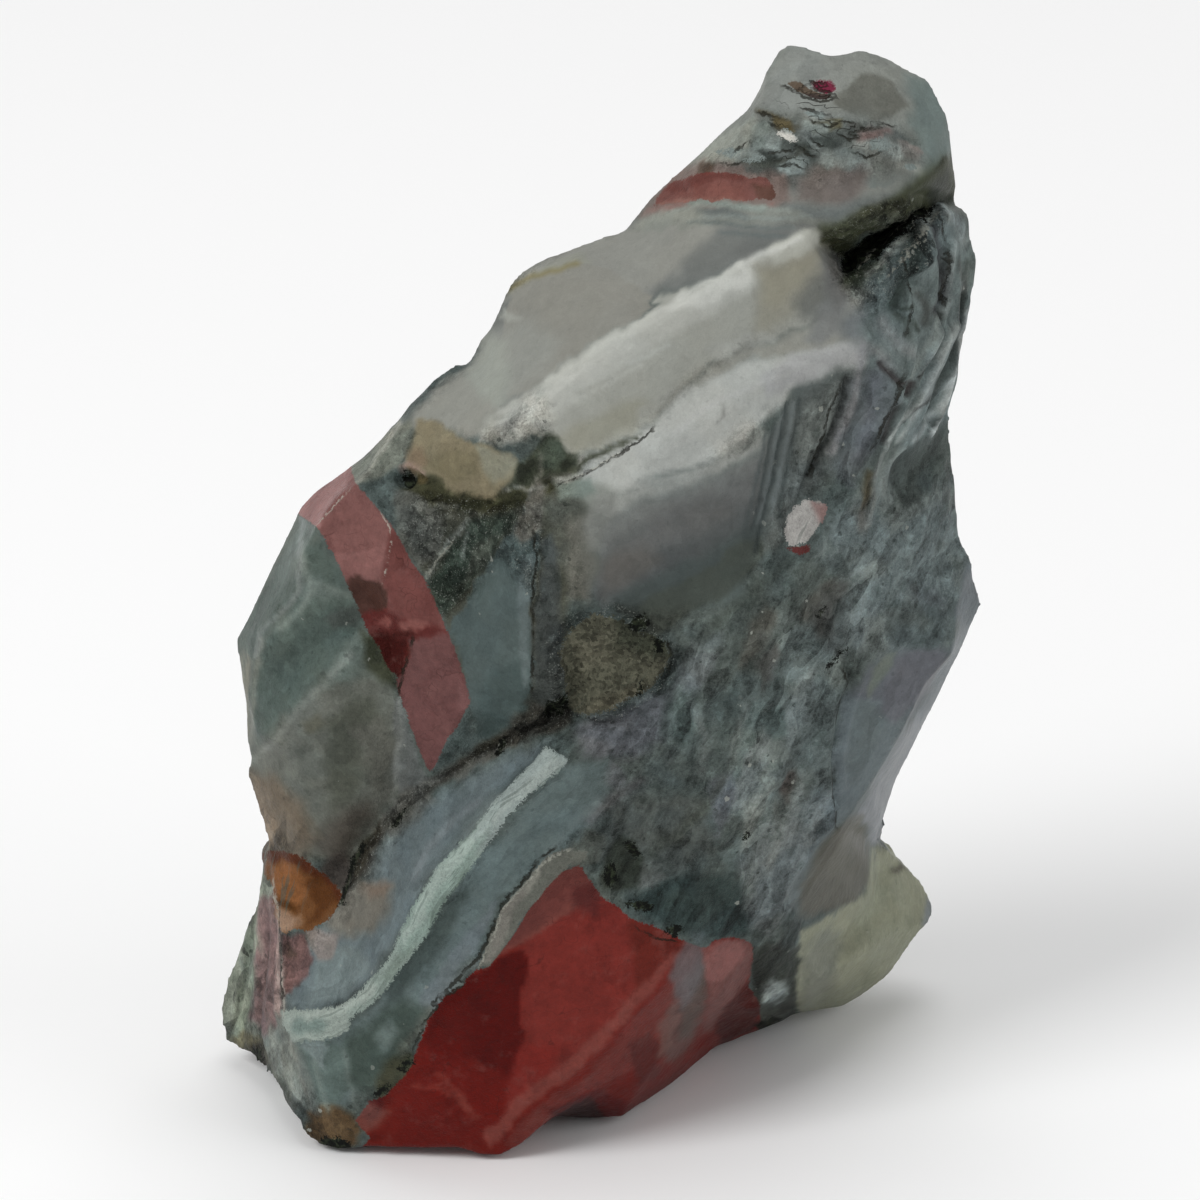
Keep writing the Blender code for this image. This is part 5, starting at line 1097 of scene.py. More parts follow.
# Streaks painted in soft strokes: tone, width, strength and line.
STROKES = [
    # Feathers of the white bands
    ((184, 186, 181), 3, 0.7, "800,238 776,250 762,252 740,266"),
    ((182, 184, 178), 3, 0.7, "742,262 722,278 700,284 684,296"),
    ((178, 180, 174), 3, 0.7, "700,292 676,308 660,310 640,324"),
    ((176, 178, 171), 3, 0.7, "650,316 628,334 610,340 590,354"),
    ((176, 178, 171), 3, 0.7, "604,346 584,362 566,370 548,384"),
    ((174, 176, 170), 3, 0.7, "634,346 606,360 586,372 560,380"),
    ((172, 174, 168), 3, 0.6, "600,368 572,386 552,392 528,404"),
    ((172, 174, 168), 2.5, 0.6, "640,366 612,380 596,390 568,402"),
    ((172, 174, 168), 3, 0.7, "552,396 534,410 520,412 500,424"),
    ((172, 175, 170), 2.5, 0.6, "668,344 648,356 630,364"),
    ((130, 130, 122), 2, 0.35, "757,264 755,290 757,312 755,338"),
    ((120, 121, 114), 2.5, 0.5, "748,346 724,360 700,372 676,392 658,412"),
    ((170, 172, 170), 3, 0.6, "790,372 760,384 724,398 700,412 676,432"),
    ((172, 174, 170), 3, 0.5, "756,400 724,414 690,436 664,452"),
    ((152, 155, 151), 5, 0.8, "636,484 664,480 696,472 724,462 742,452"),
    ((118, 120, 116), 1.5, 0.6, "722,404 724,414 718,424"),
    ((122, 137, 130), 4, 0.8, "690,203 715,203 740,206 762,208"),
    ((84, 92, 92), 4, 0.7, "700,213 725,211 745,216"),
    ((132, 140, 134), 2, 0.7, "668,212 700,206 740,206 790,210"),
    ((92, 100, 98), 2, 0.7, "690,222 730,224 762,228 792,226"),
    ((126, 134, 130), 2, 0.7, "700,218 740,216 780,219 812,216"),
    ((88, 96, 95), 2, 0.7, "720,232 760,235 786,236"),
    ((136, 139, 130), 6, 0.6, "640,224 665,214 700,216"),
    ((114, 104, 60), 3, 0.5, "508,290 530,278 552,272 578,264"),
    # Rust in the crown
    ((62, 56, 38), 2, 0.8, "758,111 770,114 782,119"),
    ((64, 58, 40), 1.5, 0.7, "776,129 786,132 800,128"),
    ((70, 66, 48), 1.5, 0.7, "812,122 826,124 840,129"),
    ((60, 62, 54), 4, 0.6, "745,160 765,165 790,160 805,150"),
    ((120, 92, 88), 4, 0.5, "860,140 875,134 888,132"),
    ((152, 156, 150), 4, 0.6, "900,166 912,168 922,173"),
    ((136, 140, 134), 4, 0.5, "808,118 818,120 826,118"),
    # Olive rim of the crevice, its dark strokes partly painted shade about the crevice
    ((64, 68, 54), 6, 0.9, "822,228 838,228 852,220 870,213 890,204 912,194"),
    ((58, 62, 46), 8, 0.9, "905,196 925,180 945,165 955,162 955,190"),
    ((58, 66, 48), 5, 0.7, "845,282 862,276 880,266"),
    ((188, 194, 188), 2.5, 0.8, "934,216 924,233 905,247 886,262 868,276"),
    # Ribs on the right: light strokes on the rib crests and dark strokes in the furrows, painted light and
    # shade over the ribs' relief
    ((136, 146, 146), 6, 0.9, "945,212 958,222 962,240"),
    ((126, 136, 136), 3, 0.9, "948,240 942,300 938,314 926,345 912,372"),
    ((150, 158, 157), 3, 0.9, "950,322 938,348 924,378 914,398 894,419 881,446"),
    ((176, 182, 182), 3, 0.9, "965,308 961,335 951,365 945,388 934,419 928,433"),
    ((128, 138, 136), 3, 0.85, "929,312 924,336 911,358 902,374"),
    ((58, 60, 62), 4, 0.85, "933,228 938,262 942,290 930,308"),
    ((50, 60, 57), 7, 0.8, "916,240 908,266 898,290 892,306"),
    ((40, 44, 42), 2.5, 0.9, "936,312 934,338 924,358 911,375"),
    ((54, 62, 60), 3, 0.9, "961,300 955,335 945,361 934,385 928,405 926,419"),
    ((60, 68, 64), 4, 0.7, "966,262 964,290 960,306"),
    ((150, 158, 158), 2.5, 0.8, "946,372 940,396 926,420 912,440"),
    ((140, 148, 147), 2.5, 0.8, "936,362 926,388 911,412 894,440"),
    ((42, 46, 44), 2, 0.8, "928,396 918,402 908,408"),
    ((50, 56, 54), 2, 0.8, "944,400 936,414 928,426"),
    ((124, 128, 128), 7, 0.7, "880,322 890,340 902,350"),
    ((120, 123, 123), 6, 0.7, "862,344 876,352 884,366"),
    ((54, 62, 58), 2, 0.8, "890,302 900,308 908,306"),
    ((54, 62, 58), 2, 0.8, "896,314 906,320 910,330"),
    ((70, 76, 74), 4, 0.8, "955,262 962,280 960,300"),
    ((58, 62, 60), 4, 0.8, "912,292 922,306 918,322"),
    ((62, 70, 67), 4, 0.8, "894,316 902,324 900,334"),
    ((56, 52, 52), 2.5, 0.9, "877,361 886,372 891,381 904,381 897,391"),
    ((54, 54, 54), 4, 0.9, "888,404 882,420 878,438"),
    ((126, 128, 130), 3.5, 0.9, "862,346 856,372 850,404 837,432 829,452"),
    ((88, 93, 98), 7, 0.8, "872,378 868,402 862,430 854,456"),
    ((50, 54, 54), 3, 0.9, "845,378 843,398 836,419 820,456 810,476"),
    ((104, 112, 112), 2.5, 0.8, "830,400 827,425 820,444"),
    ((124, 132, 131), 3.5, 0.85, "882,446 872,474 869,499 864,520"),
    ((126, 136, 135), 2.5, 0.8, "902,450 890,462 886,474"),
    ((84, 92, 90), 4, 0.6, "820,500 812,514 800,540"),
    ((104, 114, 113), 3, 0.7, "898,500 890,520 884,545"),
    ((60, 68, 68), 2, 0.8, "788,404 782,440 776,480 764,520 757,552"),
    ((62, 70, 70), 2, 0.7, "776,424 770,456 764,490 754,530"),
    ((62, 70, 70), 2, 0.7, "800,400 796,440 788,480 780,520"),
    ((104, 112, 113), 2, 0.7, "794,402 789,440 782,480 772,520"),
    ((100, 108, 109), 2, 0.7, "782,414 776,450 770,486 760,524"),
    ((68, 76, 76), 2, 0.6, "766,432 760,470 752,505 744,536"),
    ((106, 114, 113), 2.5, 0.7, "815,400 810,432 803,470 795,500"),
    # Streaks down the broad face
    ((112, 122, 120), 6, 0.5, "870,560 850,600 842,640 835,680"),
    ((116, 126, 124), 5, 0.5, "800,770 788,800 775,835 768,870"),
    ((114, 124, 122), 5, 0.5, "772,760 760,800 752,840 748,890"),
    ((118, 126, 126), 5, 0.5, "830,770 818,810 800,850 785,890"),
    ((104, 112, 110), 5, 0.5, "745,700 735,740 728,770"),
    ((104, 114, 112), 6, 0.5, "905,560 890,600 872,640"),
    ((60, 66, 66), 5, 0.6, "690,650 672,690 664,730 670,760"),
    ((58, 66, 64), 5, 0.5, "760,590 745,620 735,650"),
    ((58, 66, 62), 6, 0.6, "700,640 730,610 760,585 790,560"),
    ((60, 66, 64), 5, 0.6, "840,605 828,620 822,640"),
    ((104, 112, 112), 5, 0.5, "690,700 705,735 700,770"),
    ((66, 72, 66), 6, 0.6, "720,780 700,810 672,838 650,850"),
    ((94, 90, 92), 6, 0.5, "590,820 610,800 640,780"),
    # Left face: light lines along its arrises, partly the stone's whitish edges and partly painted highlight
    # on the edges
    ((136, 142, 136), 4, 0.6, "245,768 262,752 278,738 300,708 328,680 350,655"),
    ((126, 136, 130), 4, 0.6, "302,540 305,570 312,590 300,610 280,628"),
    ((120, 130, 124), 4, 0.5, "312,580 330,588 350,596"),
    ((128, 132, 128), 3, 0.6, "398,700 402,730 396,770 394,800"),
    ((124, 126, 118), 3, 0.6, "262,640 256,680 252,720 250,745"),
    ((150, 150, 140), 3, 0.7, "400,425 385,448 370,470 345,493 330,510"),
    ((128, 134, 132), 3, 0.6, "303,520 300,545 300,590 282,612 262,630 258,655"),
    # Sparkling crumbs by the red band and along the moss
    ((160, 168, 163), 2.5, 0.8, "472,518 462,530 453,537 448,548 442,553 434,566 427,577"),
    ((150, 158, 153), 2, 0.7, "471,530 468,546 464,556"),
    ((140, 146, 141), 2, 0.7, "418,508 440,505 462,504"),
    ((140, 146, 141), 2, 0.6, "430,520 446,514 458,516"),
    ((158, 162, 158), 3, 0.9, "556,481 572,478 584,472 600,464 619,449"),
    ((150, 154, 150), 2, 0.7, "508,490 520,486 530,492 544,486"),
    ((140, 140, 132), 2, 0.9, "521,518 526,526 534,532 540,526"),
    ((104, 106, 98), 2, 0.8, "543,455 541,472 534,487"),
    ((160, 138, 128), 2, 0.8, "401,468 407,463 413,464 420,468 428,474"),
    # Bench and flank
    ((124, 136, 138), 5, 0.5, "500,795 470,830 445,862 428,890"),
    ((120, 128, 132), 4, 0.5, "480,800 450,825 430,850 415,878"),
    ((104, 116, 116), 4, 0.6, "600,800 570,830 545,858"),
    ((112, 122, 124), 4, 0.6, "478,960 460,975 440,1000 425,1030"),
    ((112, 124, 120), 3, 0.6, "318,1060 322,1085 330,1110"),
    ((116, 128, 124), 3, 0.5, "345,1050 350,1080 356,1110"),
    ((92, 96, 88), 5, 0.6, "430,1010 415,1035 400,1052"),
    # Layered side
    ((134, 142, 130), 2.5, 0.7, "262,880 252,920 246,960 240,1010"),
    ((76, 82, 72), 2.5, 0.6, "256,890 245,940 236,990 232,1030"),
    ((88, 72, 74), 2.5, 0.6, "270,910 266,950 268,990 262,1030"),
    ((146, 132, 128), 2.5, 0.6, "278,880 281,930 284,980 286,1015"),
    ((130, 136, 130), 2.5, 0.6, "272,1030 284,1060 300,1100"),
    ((70, 74, 68), 2.5, 0.6, "262,1045 276,1075 296,1108"),
    ((136, 140, 134), 2.5, 0.6, "292,1040 300,1070 312,1105"),
    # Lump
    ((60, 58, 48), 4, 0.7, "893,870 900,868 907,866"),
]

# Thin dark cracks, one of them a painted shadow line, and thin light edges, partly painted highlight along
# arrises and rims: half width in millimetres, and line.
CRACKS_AND_SHADOW_LINE = [
    (0.045, "562,484 582,476 600,466 622,452 640,439 650,431"),
    (0.06, "842,672 847,684 841,700 836,714 833,735 831,757 828,774 832,800 835,822"),
    (0.06, "787,88 797,93 809,97 820,100 832,99"),
    (0.04, "803,86 812,80 822,81"),
    (0.05, "818,87 828,90 834,96"),
    (0.06, "764,112 772,117 784,121"),
    (0.06, "798,150 804,153 812,156"),
    (0.05, "856,133 868,131 880,130"),
    # A painted shadow line in the gap where the grey layer overhangs the red face.
    (0.08, "435,1001 455,981 478,956 490,930 501,903 520,883 537,862 552,850"),
    (0.06, "893,375 886,398 876,420 866,445"),
    (0.06, "838,388 828,410 822,440 812,475"),
    (0.06, "412,642 407,658 402,675 399,690"),
    (0.05, "535,532 537,560 532,600 533,660 531,690"),
    (0.05, "668,642 672,655 668,668"),
    (0.04, "903,262 908,300 900,330"),
    (0.05, "940,222 944,262 939,300"),
    (0.05, "415,1045 425,1022 442,998 460,985"),
    (0.04, "640,930 655,938 672,940"),
    (0.05, "280,905 283,960 284,1005"),
    (0.06, "762,114 769,116 775,119"),
    (0.07, "806,110 821,114 830,117"),
    (0.07, "815,123 826,128 835,126"),
    (0.06, "774,126 781,132"),
    (0.07, "799,148 810,154"),
    (0.05, "831,121 842,124 849,123"),
    (0.05, "853,133 867,128 878,130"),
    (0.06, "753,141 745,144 738,150"),
    (0.06, "774,153 788,151 796,155"),
    (0.06, "783,166 792,164 799,167"),
    (0.05, "856,155 867,158 876,155"),
    (0.05, "873,124 889,126"),
    (0.05, "724,164 731,166 738,164"),
    (0.05, "842,137 849,141 856,139"),
    (0.06, "813,139 821,144"),
]
# Light edge lines, most along arrises and ledge rims: partly the stone's whitish edges and partly painted
# highlight.
SEAMS = [
    (0.08, "480,962 491,938 503,905 520,888 536,869 550,856 566,850"),
    (0.02, "384,516 391,527 391,545 384,577"),
    (0.06, "888,272 905,255 922,238 936,218"),
    (0.02, "860,275 880,252 902,236 925,216"),
    (0.05, "455,540 446,552 436,562 430,574"),
    (0.02, "347,493 332,508 318,525"),
    (0.04, "276,880 281,930 285,985 287,1012"),
    (0.04, "565,483 590,470 615,455"),
]

# Lines that the grain of the stone follows: how far it reaches from the line, how strong it is, and the line.
GUIDES = [
    (80, 0.7, "287,1022 320,1024 348,1012 380,972 415,912 450,858 492,806 560,752"),
    (90, 0.30, "450,455 560,396 640,345 720,300 830,240"),
    (60, 0.25, "560,510 640,455 720,405 800,365 880,340"),
    (90, 1.0, "935,200 938,260 928,320 905,380 880,440 850,520"),
    (70, 0.7, "800,390 785,430 775,480 760,545 745,600"),
    (60, 1.0, "268,850 255,920 246,980 242,1050"),
    (50, 0.8, "290,1020 285,1060 300,1110 325,1160"),
    (200, 0.8, "870,560 810,680 750,800 700,900"),
    (70, 0.05, "930,900 880,930 810,990"),
    (30, 0.05, "975,590 930,700 880,820"),
    (60, 0.15, "690,940 640,1000 580,1070 510,1130"),
]


def px(text):
    """The points of a line or outline written as text."""
    return [tuple(float(v) for v in pair.split(",")) for pair in text.split()]


def neighbour_mean(values, edges):
    """The mean of each vertex's neighbours."""
    a, b = edges.T
    count = np.bincount(a, minlength=len(values)) + np.bincount(b, minlength=len(values))
    total = [np.bincount(a, column[b], len(values)) + np.bincount(b, column[a], len(values))
             for column in values.T]
    return np.stack(total, axis=1) / count[:, None]


def smooth(share):
    """A share from 0 to 1, eased at both ends."""
    share = np.clip(share, 0, 1)
    return share * share * (3 - 2 * share)


def along_line(spots, line):
    """How far each spot is from a line, how far to its right, and how far along it."""
    ends = np.array(line)
    gap = np.full(len(spots), np.inf)
    across = np.zeros(len(spots))
    along = np.zeros(len(spots))
    start = 0.0
    for a, b in zip(ends, ends[1:]):
        length = np.linalg.norm(b - a)
        way = (b - a) / length
        reach = (spots - a) @ way
        side = (spots - a) @ np.array((way[1], -way[0]))
        distance = np.hypot(reach - np.clip(reach, 0, length), side)
        closer = distance < gap
        gap[closer] = distance[closer]
        across[closer] = side[closer]
        along[closer] = start + reach[closer]
        start += length
    return gap, across, np.where(along < 0, -along, np.maximum(along - start, 0)), along


def border(spots, outline):
    """How far each spot is outside an outline; less than nothing within it."""
    x, y = spots.T
    within = np.zeros(len(spots), dtype=bool)
    for (ax, ay), (bx, by) in zip(outline, outline[1:] + outline[:1]):
        if ay != by:
            within ^= ((ay > y) != (by > y)) & (x < ax + (bx - ax) * (y - ay) / (by - ay))
    gap = along_line(spots, outline + outline[:1])[0]
    return np.where(within, -gap, gap)


def around(spots, line, margin):
    """The numbers of the spots in the box round a line."""
    low = np.min(line, axis=0) - margin
    high = np.max(line, axis=0) + margin
    return np.flatnonzero(np.all((spots > low) & (spots < high), axis=1))


def paint(colour, spots, patches):
    """Lays soft patches over each other."""
    for tone, feather, strength, text in patches:
        outline = px(text)
        picked = around(spots, outline, feather * 1.5)
        gap = border(spots[picked], outline)
        share = strength * smooth(0.5 - gap / (2 * feather))
        colour[picked] += share[:, None] * (np.array(tone) - colour[picked])


def stroke(colour, spots, strokes):
    """Lays soft streaks over the colour."""
    for tone, width, strength, text in strokes:
        line = px(text)
        picked = around(spots, line, width * 3)
        gap = along_line(spots[picked], line)[0]
        share = strength * np.exp(-((gap / width) ** 2))
        colour[picked] += share[:, None] * (np.array(tone) - colour[picked])


def nearest_border(spots, depth, outlines):
    """How far each spot is outside the nearest outline, in millimetres; each reaches to its own depth."""
    gap = np.full(len(spots), 30.0)
    for deep, text in outlines:
        outline = px(text)
        picked = around(spots, outline, 60)
        side = np.maximum(border(spots[picked], outline) / UNITS, depth[picked] - deep)
        gap[picked] = np.minimum(gap[picked], side)
    return gap


def nearest_slab(points, depth, slabs):
    """How far each vertex is outside the nearest slab in the unseen stone, in millimetres."""
    gap = np.full(len(points), 30.0)
    sway = wanders(points, 8, 61, 62, 63)
    for middle, way, half, reach in slabs:
        offset = points + SLAB_SWAY * sway - place(*middle)
        side = np.abs(offset @ np.array(Vector(way).normalized())) - half
        end = np.linalg.norm(offset, axis=1) - reach
        gap = np.minimum(gap, np.maximum(np.maximum(side, end), SLAB_DEPTH - depth))
    return gap


def nearest_line(spots, lines):
    """For the nearest line: how far a spot is to its right and past its ends, and its half width."""
    found = np.tile((5.0, 5.0, 0.1), (len(spots), 1))
    nearest = np.full(len(spots), 20.0)
    for width, text in lines:
        line = px(text)
        picked = around(spots, line, 25)
        gap, across, past, _ = along_line(spots[picked], line)
        closer = gap < nearest[picked]
        kept = picked[closer]
        nearest[kept] = gap[closer]
        side = across[closer] / UNITS
        beyond = past[closer] / UNITS + np.maximum(np.abs(side) - 1, 0)
        found[kept] = np.stack([side, beyond, np.full(len(kept), width)], axis=1)
    return found


def grain_along(spots, guides):
    """How far each spot is across and along the nearest guide line, and how much it follows it."""
    found = np.zeros((len(spots), 3))
    nearest = np.full(len(spots), 1.0)
    second = np.full(len(spots), 1.0)
    for number, (reach, strength, text) in enumerate(guides):
        gap, across, _, along = along_line(spots, px(text))
        share = gap / reach
        closer = share < nearest
        second = np.where(closer, nearest, np.minimum(second, share))
        nearest = np.where(closer, share, nearest)
        here = [across / UNITS, along / UNITS + 40 * number, np.full(len(spots), strength)]
        found[closer] = np.stack(here, axis=1)[closer]
    found[:, 2] *= smooth((1 - nearest) * 2) * smooth((second - nearest) * 6)
    return found


def linear(colour):
    """Screen colour from 0 to 255 as light from 0 to 1."""
    share = np.clip(colour / 255, 0, 1)
    return np.where(share < 0.04045, share / 12.92, ((share + 0.055) / 1.055) ** 2.4)


def store(mesh, name, values):
    """Keeps three numbers for each vertex."""
    kept = mesh.attributes.new(name, "FLOAT_VECTOR", "POINT")
    kept.data.foreach_set("vector", np.ascontiguousarray(values, dtype=np.float32).ravel())


def behind(points, mesh):
    """How far each vertex lies behind the surface that is seen in the drawing."""
    eye = sight_axes()[3]
    tree = BVHTree.FromPolygons([Vector(p) for p in points], [tuple(f.vertices) for f in mesh.polygons])
    depth = np.zeros(len(points))
    for i, point in enumerate(points):
        sight = Vector(point) - eye
        reach = sight.length
        hit = tree.ray_cast(eye, sight / reach)[3]
        if hit is not None:
            depth[i] = max(reach - hit - SIGHT_SLACK, 0)
    return depth


def picture_spots(points, depth):
    """Where each vertex is in the picture; behind what shows, the picture runs on askew."""
    spots = drawn_points(points)
    spots = np.stack([PICTURE_MIDDLE + UNITS * spots[:, 0], PICTURE_FOOT - UNITS * spots[:, 1]], axis=1)
    strength = SWAY * np.minimum(depth / SWAY_DEPTH, 1) * smooth(depth / SEEN_DEPTH)
    return spots + depth[:, None] * ASKEW + wanders(points, 9, 21, 22) * strength[:, None]


def mark(mesh, points, spots, depth):
    """Works out where every marking runs through the stone, and keeps it with the vertices."""
    small = wanders(points, 2.2, 23, 24)
    tiny = wanders(points, 0.9, 25, 26)
    ragged = spots + SMALL_RAGGED * small + TINY_RAGGED * tiny

    ground = np.tile(np.array(GROUND_TONE, dtype=float), (len(points), 1))
    paint(ground, ragged, GROUND)
    stroke(ground, spots + STROKE_RAGGED * tiny, STROKES)
    far = smooth((depth - 6) / 14)[:, None] * 0.75
    cloud = smooth(0.5 + 0.7 * wander(points, 11, 31) + 0.4 * wander(points, 4, 32))[:, None]
    back = BACK_DARK + cloud * (BACK_LIGHT - BACK_DARK)
    warm = smooth(wander(points, 16, 33) * 1.6 - 0.3)[:, None]
    back += warm * (BACK_WARM - back) * 0.7
    ground += far * (back - ground)

    red = np.tile(np.array(RED_TONE, dtype=float), (len(points), 1))
    paint(red, ragged, RED)
    pale = np.tile(np.array(PALE_TONE, dtype=float), (len(points), 1))
    paint(pale, ragged, PALE)
    groups = ((RED_OUTLINES, RED_SLABS), (PALE_OUTLINES, PALE_SLABS), (DARK_OUTLINES, DARK_SLABS))
    edges = np.stack([np.minimum(nearest_border(spots, depth, outlines), nearest_slab(points, depth, slabs))
                      for outlines, slabs in groups], axis=1)
    for name, colour in (("ground", ground), ("red", red), ("pale", pale)):
        store(mesh, name, linear(colour))
    store(mesh, "edges", edges)
    store(mesh, "crack_and_shadow", nearest_line(spots, CRACKS_AND_SHADOW_LINE))
    store(mesh, "seam", nearest_line(spots, SEAMS))


# Ribs, and furrows less than nothing high: half width and height in millimetres, and line.
RIDGES = [
    (0.40, 0.56, "948,240 942,300 938,314 926,345 912,372"),
    (0.40, 0.56, "950,322 938,348 924,378 914,398 894,419 881,446"),
    (0.36, 0.56, "966,300 961,335 951,365 945,388 934,419 928,433"),
    (0.32, -0.73, "936,312 934,338 924,358 911,375"),
    (0.36, -0.73, "961,296 955,335 945,361 934,385 928,405 926,419"),
    (0.40, -0.56, "933,228 938,262 942,290 930,308"),
    (0.56, -0.41, "916,240 908,266 898,290 892,306"),
    (0.32, -0.49, "877,361 886,372 891,381 904,381 897,391"),
    (0.40, -0.56, "888,404 882,420 878,438"),
    (0.35, 0.35, "862,346 856,372 850,404 837,432 829,452"),
    (0.25, -0.35, "845,378 843,398 836,419 820,456 810,476"),
    (0.40, 0.41, "882,446 872,474 869,499 864,520"),
    (0.36, 0.41, "904,448 892,460 886,474"),
    (0.30, -0.4, "788,404 782,440 776,480 764,520 757,552"),
    (0.30, -0.3, "776,424 770,456 764,490 754,530"),
    (0.30, -0.3, "800,400 796,440 788,480 780,520"),
    (0.35, 0.6, "398,470 410,466 420,468 430,474"),
    (0.35, 0.5, "541,474 534,488 525,506 512,530 499,554 486,576 464,612"),
    (0.35, -0.5, "539,536 537,575 535,618 533,660"),
    (0.50, -0.6, "470,500 500,502 530,498 552,488"),
    (0.35, -0.4, "668,642 672,655 666,672 650,690"),
    (0.30, -0.4, "836,648 846,664 853,684 844,702 838,728 831,756 832,790 838,826"),
    (0.35, 0.3, "850,655 862,684 854,704 848,728 841,756 842,786"),
    (0.35, -0.4, "560,486 582,476 600,466 622,452 640,439 656,427"),
    (0.50, 0.4, "560,470 582,462 604,450 630,432"),
    (0.25, -0.3, "340,553 355,551 372,545 384,548"),
    (0.30, -0.4, "412,642 407,658 402,675 399,690"),
    (0.30, 0.35, "296,512 316,526 322,533 330,550"),
    (0.35, -0.4, "262,880 254,920 248,960 244,1010"),
    (0.35, 0.4, "270,880 262,930 256,970 254,1020"),
    (0.35, -0.4, "278,905 274,960 272,1010 284,1050 300,1095"),
    (0.35, 0.4, "286,905 284,960 284,1010"),
]

SURFACE = [
    # How mottled, how gritty and how dull the stone is, from 0 to 100
    ((14, 5, 38), 10, 1,
     "470,365 500,295 540,265 640,215 700,212 830,222 830,240 845,260 800,325 740,345 700,370 655,415 "
     "600,455 560,450 540,395 480,437 430,430 400,425"),
    ((22, 8, 40), 14, 1, "840,260 870,340 900,350 850,366 800,400 740,430 700,470 650,560 590,600 570,480"),
    ((26, 12, 38), 8, 1,
     "600,500 650,492 700,470 760,436 800,396 792,470 772,520 752,560 745,596 700,608 640,612 604,604 "
     "596,560"),
    ((55, 20, 45), 8, 1,
     "235,640 262,560 300,500 322,535 350,590 380,650 398,690 412,735 430,770 405,800 350,855 290,850 "
     "262,800 240,740"),
    ((35, 10, 40), 5, 1, "520,520 534,530 532,670 530,690 515,722 498,742 480,735 470,700 447,628 481,590"),
    ((30, 10, 42), 6, 1,
     "630,225 655,180 700,120 770,60 785,30 860,40 930,60 970,130 970,215 900,205 840,235 760,225"),
    ((40, 14, 42), 3, 1,
     "404,463 412,440 418,420 440,422 474,442 514,448 522,461 514,484 498,494 455,490 428,476"),
    ((35, 12, 38), 8, 1,
     "838,822 834,780 836,730 850,694 866,668 890,650 948,646 930,690 905,724 875,780 850,812"),
    ((62, 14, 42), 8, 1,
     "940,205 976,240 978,330 966,420 940,440 915,470 880,500 850,480 830,460 842,400 860,350 880,310 "
     "905,270 925,235"),
    ((45, 30, 45), 8, 1,
     "362,895 420,815 520,750 610,760 600,810 535,870 470,960 400,1050 340,1110 300,1080 285,1000"),
    ((100, 90, 60), 6, 1,
     "410,498 450,490 500,500 545,500 540,600 500,560 470,600 445,620 425,575 398,530"),
    ((100, 90, 60), 6, 1,
     "345,905 352,860 400,795 450,762 500,732 530,700 570,705 575,725 520,745 470,770 420,805 385,845 "
     "360,900"),
    ((66, 60, 52), 10, 1,
     "690,172 716,146 740,125 770,112 820,118 880,122 915,135 925,160 880,178 800,185 770,182 705,170"),
    ((30, 15, 35), 5, 1,
     "966,563 990,620 960,680 905,800 880,845 865,890 796,925 790,890 812,846 838,824 900,735 948,655"),
    ((30, 15, 35), 5, 1, "797,930 868,890 872,845 900,850 945,890 945,930 900,1000 800,1025"),
    ((90, 60, 50), 3, 1, "474,972 490,930 505,896 530,866 566,846 592,850 574,866 545,890 515,935 490,970"),
    ((100, 100, 70), 3, 1, "545,640 570,612 612,600 662,622 684,656 664,692 610,722 560,718 545,680"),
    ((100, 100, 60), 5, 1, "822,232 885,200 945,196 946,220 920,262 885,300 856,308 838,290"),
    ((40, 15, 35), 8, 1,
     "560,871 620,910 700,950 750,940 755,1000 600,1180 420,1190 352,1160 412,1065 486,967"),
    ((40, 15, 35), 4, 1, "300,520 345,480 388,520 435,600 470,703 428,769 398,675"),
    ((70, 62, 50), 4, 1,
     "280,1006 345,1002 380,966 420,892 470,826 548,745 574,762 530,802 490,852 450,905 404,972 "
     "352,1024 330,1046 290,1046"),
    ((100, 60, 55), 4, 1, "372,628 395,622 415,628 412,645 400,690 384,662"),
]


def surface_of(spots, points, depth):
    """How mottled, how gritty and how dull each vertex is, from 0 to 1."""
    kept = np.tile(np.array(PLAIN_SURFACE), (len(points), 1))
    paint(kept, spots, SURFACE)
    far = smooth((depth - 4) / 10)[:, None] * 0.7
    rough = smooth(0.4 + wander(points, 12, 41))[:, None]
    kept += far * (BACK_SURFACE + rough * BACK_ROUGHER - kept)
    return kept / 100


# Colours of the small marks, and dyes that others are multiplied by, as light from 0 to 1.
PALE_FLECK = (0.36, 0.38, 0.34, 1.0)
# Bright specks on gritty parts, painted as glints of tiny facets.
PAINTED_GLINT = (0.40, 0.42, 0.38, 1.0)
DARK_SPECK = (0.012, 0.016, 0.013, 1.0)
WARM_HUE = (1.14, 1.0, 0.86, 1.0)
DARK_BLOTCH = (0.45, 0.50, 0.47, 1.0)
PALE_BLOTCH = (1.5, 1.55, 1.55, 1.0)
MILKY_RED = (0.32, 0.16, 0.14, 1.0)
DARK_RED_DYE = (0.55, 0.45, 0.45, 1.0)
RED_HAIRLINE = (0.02, 0.006, 0.005, 1.0)
VEIN_SCRATCH = (0.06, 0.085, 0.07, 1.0)
# Near-black and dark green of the near-black parts; in the crevice they are painted shadow.
NEAR_BLACK = (0.004, 0.005, 0.0035, 1.0)
DARK_GREEN = (0.035, 0.044, 0.026, 1.0)
# Pale colour of the light edge lines, partly painted highlight.
SEAM_COLOUR = (0.42, 0.42, 0.36, 1.0)
# Colour of the dark crack lines, one of them a painted shadow line.
CRACK_AND_SHADOW_COLOUR = (0.014, 0.013, 0.008, 1.0)
CLEAN_FLOOR = (0.93, 0.93, 0.93, 1.0)
CLEANER_FLOOR = (0.95, 0.95, 0.95, 1.0)


